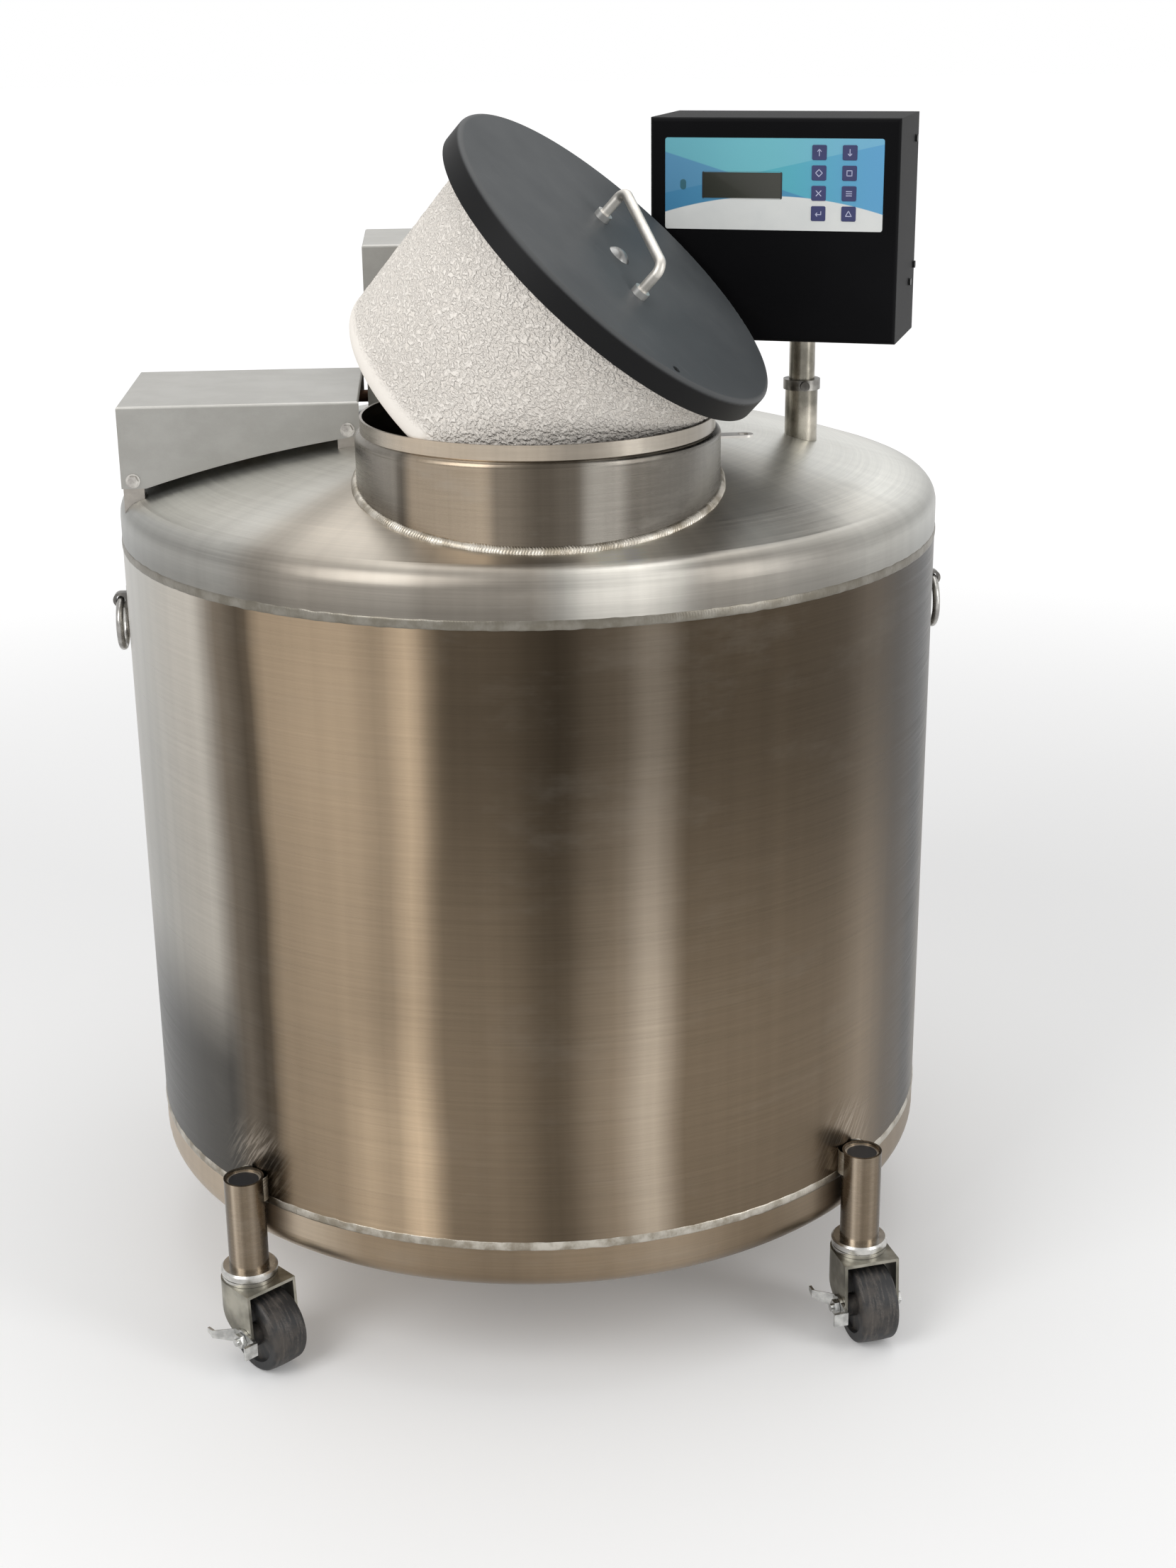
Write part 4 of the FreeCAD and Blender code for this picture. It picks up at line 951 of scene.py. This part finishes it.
@dataclass
class Lid:
    """The lid: slate cover, foam plug with its dimpled skin, handle and bolt."""

    tilt: float = math.radians(42.55)
    turn: float = math.radians(-21.24)
    offset: float = 82.45 * MM
    underside: float = (1196.8 + 162.48) * MM
    top_r: float = 203.9 * MM
    bottom_r: float = 196.1 * MM
    length: float = 242.5 * MM
    corner: float = 25.0 * MM
    cover_r: float = 233.3 * MM
    cover_height: float = 30.0 * MM
    pitch: float = 1.95 * MM
    dimple: float = 1.2 * MM
    seed: int = 1

    def pose(self) -> Matrix:
        """The lid's place: its own Z runs out through the cover, 0 at the cover's underside."""
        centre = (self.offset * math.cos(self.turn), self.offset * math.sin(self.turn) + NECK_Y, self.underside)
        return (Matrix.Translation(centre) @ Matrix.Rotation(self.turn, 4, "Z")
                @ Matrix.Rotation(self.tilt, 4, "Y"))

    def build(self) -> None:
        """Dress the lid and make the plug's skin."""
        dress(LidCoat("slate_coat", tuple(self.pose().translation), self.turn, self.tilt, self.cover_r,
                      self.cover_height), "lid_cover")
        dress(PlainSteel("handle_steel", (0.74, 0.71, 0.66), (0.58, 0.555, 0.51), 0.42, Swept.AROUND, 40.0),
              "lid_handle")
        dress(PlainSteel("collar_bright", (0.78, 0.77, 0.74), (0.6, 0.59, 0.57), 0.34, Swept.LEVEL, 60.0),
              "handle_collars")
        dress(PlainSteel("bolt_dull", (0.4, 0.4, 0.39), (0.24, 0.24, 0.235), 0.34, Swept.LEVEL, 60.0),
              "lid_bolt")
        self.make_plug()

    def profile(self) -> list[tuple[float, float]]:
        """Outline of the plug's skin.

        Returns:
            Radius and height pairs, from the cover down and round to the middle.
        """
        side = int(self.length / self.pitch)
        slope = (self.top_r - self.bottom_r) / self.length
        knee = self.length - self.corner
        points = [(self.top_r * k / 4, -0.0005) for k in range(1, 4)]
        points += [(self.top_r - slope * knee * k / side, -0.0005 - (knee - 0.0005) * k / side)
                   for k in range(side + 1)]
        bend = int(self.corner * math.pi / 2 / self.pitch)
        middle = self.bottom_r - self.corner
        start = self.top_r - slope * knee - middle
        for k in range(1, bend + 1):
            angle = math.pi / 2 * k / bend
            points.append((middle + start * math.cos(angle), -knee - self.corner * math.sin(angle)))
        flat = int(middle / (self.pitch * 25))
        points += [(middle * (1 - k / flat), -self.length) for k in range(1, flat)]
        return points

    def make_plug(self) -> None:
        """Make the plug with its skin pressed into shallow dimples, the same in each run."""
        noise.seed_set(self.seed)
        skin = turned(self.profile(), int(2 * math.pi * self.top_r / self.pitch))
        for low in (False, True):
            rim = [edge for edge in skin.edges if edge.is_boundary
                   and (edge.verts[0].co.z < -self.corner) == low]
            bmesh.ops.holes_fill(skin, edges=rim)
        bmesh.ops.recalc_face_normals(skin, faces=skin.faces)
        skin.normal_update()
        knee = self.length - self.corner
        for vert in skin.verts:
            smooth_from = min(1.0, max(0.0, (-vert.co.z - knee + 0.010) / 0.016))
            under_cover = 1.0 if vert.co.z < -0.004 else 0.0
            spot = vert.co * 1000
            spot += noise.noise_vector(spot / 14.0) * 2.0
            coarse = noise.noise(spot / 4.8)
            fine = noise.noise(spot / 2.7 + Vector((7, 7, 7)))
            swell = noise.noise(spot / 40.0)
            press = min(1.0, max(0.0, 0.5 - 0.95 * coarse - 0.25 * fine)) * (1.0 + 0.3 * swell)
            depth = self.dimple * press * (1 - 0.93 * smooth_from) * under_cover
            vert.co -= vert.normal * depth
        skin.transform(self.pose())
        foam = FoamSkin("plug_foam", tuple(self.pose().translation), self.turn, self.tilt).build()
        made = piece("plug_skin", skin, foam, "vessel")
        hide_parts("lid_plug")


@dataclass
class Controller:
    """The controller: coated box, printed membrane with keys, display and post."""

    post: tuple[float, float] = (356.0 * MM, -33.0 * MM)
    turn: float = math.radians(-19.62)
    side_shift: float = 24.7 * MM
    front_shift: float = 88.4 * MM
    bottom: float = 1249.3 * MM
    overlay_middle: float = 192.0 * MM
    film: float = 0.8 * MM
    columns: tuple[float, float] = (57.0 * MM, 94.6 * MM)
    key_top: float = 230.5 * MM
    key_pitch: float = 24.2 * MM
    key_size: float = 18.0 * MM
    key_rise: float = 0.75 * MM
    window: tuple[float, float, float, float] = (-39.0 * MM, 190.5 * MM, 99.0 * MM, 31.0 * MM)
    lamp: tuple[float, float, float, float] = (-113.5 * MM, 191.0 * MM, 7.4 * MM, 12.6 * MM)
    glyph_size: float = 5.6 * MM
    stroke: float = 0.9 * MM

    def pose(self) -> Matrix:
        """The box's place: X across its front, Y from front to back, Z up from its bottom."""
        return (Matrix.Translation((*self.post, 0)) @ Matrix.Rotation(self.turn, 4, "Z")
                @ Matrix.Translation((-self.side_shift, -self.front_shift, self.bottom)))

    def build(self) -> None:
        """Dress the controller and make its keys, marks and window frame."""
        dress(PowderCoat("box_coat", (0.0014, 0.0014, 0.0019), (0.0058, 0.0058, 0.0068), 0.52, 0.07, 1300.0),
              "control_box", "control_back")
        middle = self.pose() @ Vector((0, 0, self.overlay_middle))
        dress(PanelPrint("panel_print", tuple(middle), self.turn), "control_overlay")
        glass_at = self.pose() @ Vector((self.window[0], 0, self.window[1]))
        dress(ClearWindow("display_glass", tuple(glass_at), self.turn), "display_window")
        dress(Plain("black_screw", (0.02, 0.02, 0.02), (0.012, 0.012, 0.012), 0.35, 0.6), "control_screws")
        dress(Plain("board", (0.03, 0.16, 0.07), (0.02, 0.12, 0.05), 0.4), "circuit_board")
        dress(PlainSteel("post_steel", (0.44, 0.41, 0.35), (0.16, 0.15, 0.125), 0.25, Swept.UPRIGHT, 30.0),
              "post_tube", "post_socket")
        dress(PlainSteel("clamp_steel", (0.3, 0.29, 0.27), (0.07, 0.066, 0.06), 0.3, Swept.LEVEL, 50.0),
              "post_clamp")
        self.make_keys()
        self.make_window_frame()

    def plate(self, x: float, z: float, width: float, height: float, near: float, far: float,
              corner: float) -> bmesh.types.BMesh:
        """Make a thin plate with rounded corners in the box's own axes.

        Args:
            x: its middle across the front.
            z: its middle above the bottom.
            width: its size across.
            height: its size upwards.
            near: how far its face stands in front of the box.
            far: how far its back stands in front of the box.
            corner: radius of its corners.

        Returns:
            The plate.
        """
        bm = bmesh.new()
        bmesh.ops.create_cube(bm, size=1.0)
        bmesh.ops.scale(bm, vec=(width, near - far, height), verts=bm.verts)
        uprights = [edge for edge in bm.edges if abs(edge.verts[0].co.y - edge.verts[1].co.y) > 1e-6]
        bmesh.ops.bevel(bm, geom=uprights, offset=corner, segments=5, affect="EDGES", profile=0.5, material=-1)
        front = [edge for edge in bm.edges if all(vert.co.y < 0 for vert in edge.verts)]
        bmesh.ops.bevel(bm, geom=front, offset=(near - far) * 0.35, segments=2, affect="EDGES", profile=0.5,
                        material=-1)
        bmesh.ops.translate(bm, vec=(x, -(near + far) / 2, z), verts=bm.verts)
        return bm

    def make_keys(self) -> None:
        """Make the eight key pads and the mark on each."""
        pads = bmesh.new()
        marks = bmesh.new()
        names = list(Glyph)
        for column, x in enumerate(self.columns):
            for row in range(4):
                z = self.key_top - row * self.key_pitch
                Vessel.merge(pads, self.plate(x, z, self.key_size, self.key_size, self.film + self.key_rise,
                                              self.film * 0.5, 0.0018))
                self.draw_mark(marks, names[(row * 2 + column) % len(names)], x, z)
        self.print_piece("key_pads", pads, Plain("key_navy", (0.030, 0.036, 0.130), (0.022, 0.028, 0.105), 0.36))
        lamp = self.plate(*self.lamp, self.film + 0.0004, self.film * 0.4, self.lamp[2] * 0.49)
        lens = Plain("lamp_lens", (0.040, 0.150, 0.195), (0.030, 0.125, 0.165), 0.3)
        self.print_piece("status_lamp", lamp, lens)
        self.print_piece("key_marks", marks, Plain("key_ink", (0.56, 0.58, 0.76), (0.46, 0.48, 0.68), 0.5))

    def print_piece(self, name: str, bm: bmesh.types.BMesh, finish: Finish) -> None:
        """Stand a piece of the print on the controller.

        Args:
            name: the piece's name.
            bm: its geometry in the box's own axes; it is freed.
            finish: its finish.
        """
        bm.transform(self.pose())
        piece(name, bm, finish.build(), "control_head", smooth=False)

    def draw_mark(self, marks: bmesh.types.BMesh, glyph: Glyph, x: float, z: float) -> None:
        """Draw one mark as thin raised strokes.

        Args:
            marks: the bmesh that takes the strokes.
            glyph: which mark.
            x: the key's middle across the front.
            z: the key's middle above the bottom.
        """
        face = self.film + self.key_rise
        for run in glyph.value:
            for (x0, z0), (x1, z1) in zip(run, run[1:]):
                length = math.hypot(x1 - x0, z1 - z0) * self.glyph_size + self.stroke * 0.8
                lean = math.atan2(z1 - z0, x1 - x0)
                bar = bmesh.new()
                bmesh.ops.create_cube(bar, size=1.0)
                bmesh.ops.scale(bar, vec=(length, 0.00016, self.stroke), verts=bar.verts)
                bmesh.ops.rotate(bar, cent=(0, 0, 0), matrix=Matrix.Rotation(-lean, 3, "Y"), verts=bar.verts)
                spot = (x + (x0 + x1) / 2 * self.glyph_size, -face, z + (z0 + z1) / 2 * self.glyph_size)
                bmesh.ops.translate(bar, vec=spot, verts=bar.verts)
                Vessel.merge(marks, bar)

    def make_window_frame(self) -> None:
        """Make the dark raised line round the display."""
        x, z, width, height = self.window
        rim = self.plate(x, z, width + 0.002, height + 0.002, self.film + 0.0002, self.film * 0.2, 0.002)
        front = [face for face in rim.faces if face.normal.y < -0.99]
        bmesh.ops.inset_region(rim, faces=front, thickness=0.0014, depth=0.0)
        middle = [face for face in rim.faces if face.normal.y < -0.99 and face.calc_center_median().y
                  < -self.film and abs(face.calc_center_median().x - x) < 0.001]
        bmesh.ops.delete(rim, geom=middle, context="FACES")
        back = [face for face in rim.faces if face.normal.y > 0.99]
        bmesh.ops.delete(rim, geom=back, context="FACES")
        self.print_piece("window_rim", rim, Plain("rim_black", (0.012, 0.012, 0.014), (0.010, 0.010, 0.011), 0.3))


@dataclass
class Covers:
    """The plumbing and riser covers with what they hold."""

    def build(self) -> None:
        """Dress the covers, their fasteners and the fill line."""
        # The covers' walls below their tops carry painted shade.
        dress(FoldedSheet("cover_sheet", top=1.189), "plumbing_cover")
        dress(FoldedSheet("riser_sheet", top=1.36), "riser_cover")
        dress(FoldedSheet("bracket_sheet", (0.4, 0.37, 0.33), (0.28, 0.26, 0.24), 0.38), "cover_brackets")
        dress(PlainSteel("screw_steel", (0.6, 0.58, 0.54), (0.34, 0.32, 0.3), 0.24, Swept.LEVEL, 90.0),
              "cover_screws")
        dress(Plain("brass", (0.3, 0.21, 0.09), (0.16, 0.11, 0.05), 0.4, 1.0), "fill_valves", "inlet_fitting")
        dress(Plain("copper", (0.1, 0.055, 0.035), (0.05, 0.03, 0.02), 0.5, 1.0), "fill_pipe")
        dress(PlainSteel("ring_steel", (0.55, 0.54, 0.51), (0.26, 0.25, 0.24), 0.24, Swept.LEVEL, 50.0),
              "lift_ring_left", "lift_ring_right")
        dress(PlainSteel("bracket_dark", (0.3, 0.285, 0.26), (0.12, 0.115, 0.11), 0.35, Swept.LEVEL, 60.0),
              "lift_brackets")


@dataclass
class Undercarriage:
    """Leg tubes and casters."""

    sides: dict[str, tuple[int, int, float]] = field(default_factory=lambda: {
        "front_left": (-1, -1, -50.0), "front_right": (1, -1, -78.0),
        "back_left": (-1, 1, -62.0), "back_right": (1, 1, -70.0)})
    trail: float = 34.0 * MM
    wheel_r: float = 50.8 * MM

    def build(self) -> None:
        """Dress the legs, plug caps, races, forks, axles, levers and wheels."""
        leg_reflection_bands = (
            # Painted reflections: upright bands round each leg, with a painted highlight at the front left.
            (-180, 0.26, 0.7), (-90, 0.15, 0.8), (-61, 0.15, 0.8), (-42, 0.22, 0.8), (-30, 0.46, 0.7),
            (-19, 0.30, 0.8), (-3, 0.17, 0.9), (10, 0.19, 0.9), (24, 0.27, 0.8), (38, 0.20, 0.9),
            (57, 0.11, 0.9), (82, 0.07, 1.0), (110, 0.16, 0.8), (180, 0.26, 0.7))
        dress(PlainSteel("fork_zinc", (0.45, 0.43, 0.365), (0.19, 0.18, 0.15), 0.34, Swept.AROUND, 26.0),
              *("caster_fork_" + name for name in self.sides))
        dress(PlainSteel("race_steel", (0.72, 0.71, 0.68), (0.46, 0.45, 0.43), 0.22, Swept.LEVEL, 50.0),
              *("caster_race_" + name for name in self.sides))
        dress(PlainSteel("bolt_zinc", (0.66, 0.66, 0.64), (0.42, 0.42, 0.41), 0.24, Swept.LEVEL, 90.0),
              *("caster_axle_" + name for name in self.sides),
              *("brake_lever_front_" + side for side in ("left", "right")))
        reach = LEG_AT / math.sqrt(2)
        for name, (side_x, side_y, turn) in self.sides.items():
            leg = (side_x * reach, side_y * reach)
            dress(SpunSteel("leg_steel_" + name, leg_reflection_bands, leg, 0.26, scuffs=0.10, anisotropy=0.0),
                  "leg_" + name)
            angle = math.radians(turn)
            hub = (leg[0] + self.trail * math.cos(angle), leg[1] + self.trail * math.sin(angle), self.wheel_r)
            dress(WheelRubber("tread_" + name, hub, angle), "caster_wheel_" + name)
        dress(CapFace("cap_black", reach), "leg_caps")


@dataclass
class Studio:
    """Pale floor, soft lamps, pale surroundings and the camera."""

    camera_at: Place = (-0.12495, -2.95886, 1.67686)
    yaw: float = 0.067
    pitch: float = 0.340
    roll: float = -0.011
    focal_px: float = 3191.8
    frame_px: tuple[int, int] = (1659, 2212)
    sensor: float = 36.0

    def build(self) -> None:
        """Make everything round the object."""
        self.lay_floor()
        self.light()
        self.aim_camera()

    def lay_floor(self) -> None:
        """Lay a wide pale floor."""
        bm = bmesh.new()
        bmesh.ops.create_grid(bm, x_segments=2, y_segments=2, size=40.0)
        mesh = bpy.data.meshes.new("floor")
        bm.to_mesh(mesh)
        bm.free()
        board = Board("floor_pale")
        tone = board.noise(0.7, 2.0)
        _, far, _ = board.polar()
        camera, glossy = (board.wire("ShaderNodeLightPath", {}, f"Is {kind} Ray")
                          for kind in ("Camera", "Glossy"))
        glow = (0.1 + board.step(far, 1.2, 5.5) * 0.5) * board.maths("MAXIMUM", camera, glossy)
        board.finish(Base_Color=board.mix(tone, (0.86, 0.86, 0.86), (0.88, 0.88, 0.88)), Roughness=0.9,
                     Emission_Color=WHITE, Emission_Strength=glow)
        mesh.materials.append(board.owner)
        floor = stand("floor", mesh)

    def light(self) -> None:
        """Light the object softly, with white surroundings where the camera looks."""
        scene = bpy.context.scene
        scene.view_settings.view_transform = "Standard"
        scene.world = bpy.data.worlds.new("studio")
        sky = Board("studio", scene.world)
        camera, glossy, through = (sky.wire("ShaderNodeLightPath", {}, f"Is {kind} Ray")
                                   for kind in ("Camera", "Glossy", "Transmission"))
        level = sky.maths("MAXIMUM", sky.maths("MAXIMUM", camera, through), glossy * 0.32 + 0.52)
        sky.finish(Color=WHITE, Strength=level)
        self.lamp("key", (-2.6, -2.6, 3.2), (0, -0.1, 0.8), (2.2, 3.0), 78)
        self.lamp("fill", (2.9, -2.2, 2.0), (0, 0, 0.8), (1.0, 3.0), 36)
        self.lamp("top", (0.2, 0.6, 4.0), (0, 0, 1.0), (3.0, 3.0), 36)

    @staticmethod
    def lamp(name: str, at: Place, towards: Place, size: tuple[float, float], power: float) -> None:
        """Hang one soft lamp.

        Args:
            name: the lamp's name.
            at: where it hangs.
            towards: what it faces.
            size: its width and height.
            power: its power in watts.
        """
        data = bpy.data.lights.new(name, "AREA")
        data.shape = "RECTANGLE"
        data.size, data.size_y = size
        data.energy = power
        lamp = stand(name, data)
        lamp.location = at
        lamp.rotation_euler = (Vector(towards) - Vector(at)).to_track_quat("-Z", "Y").to_euler()

    def aim_camera(self) -> None:
        """Set the camera where the photograph was taken from."""
        forward = Vector((math.sin(self.yaw) * math.cos(self.pitch), math.cos(self.yaw) * math.cos(self.pitch),
                          -math.sin(self.pitch)))
        level = Vector((math.cos(self.yaw), -math.sin(self.yaw), 0))
        up = level.cross(forward)
        right = math.cos(self.roll) * level + math.sin(self.roll) * up
        above = -math.sin(self.roll) * level + math.cos(self.roll) * up
        data = bpy.data.cameras.new("camera")
        data.sensor_width = self.sensor
        data.lens = self.sensor * self.focal_px / max(self.frame_px)
        data.clip_end = 100.0
        camera = stand("camera", data)
        rotation = Matrix((right, above, -forward)).transposed().to_4x4()
        camera.matrix_world = Matrix.Translation(self.camera_at) @ rotation
        bpy.context.scene.camera = camera


def main() -> None:
    """Build every part of the scene in order."""
    logging.basicConfig(level=logging.INFO, format="%(name)s %(message)s")
    parts: tuple[Any, ...] = (Studio(), Vessel(), Lid(), Controller(), Covers(), Undercarriage())
    for part in parts:
        part.build()
        LOG.info("built %s", type(part).__name__)


if __name__ == "__main__":
    main()
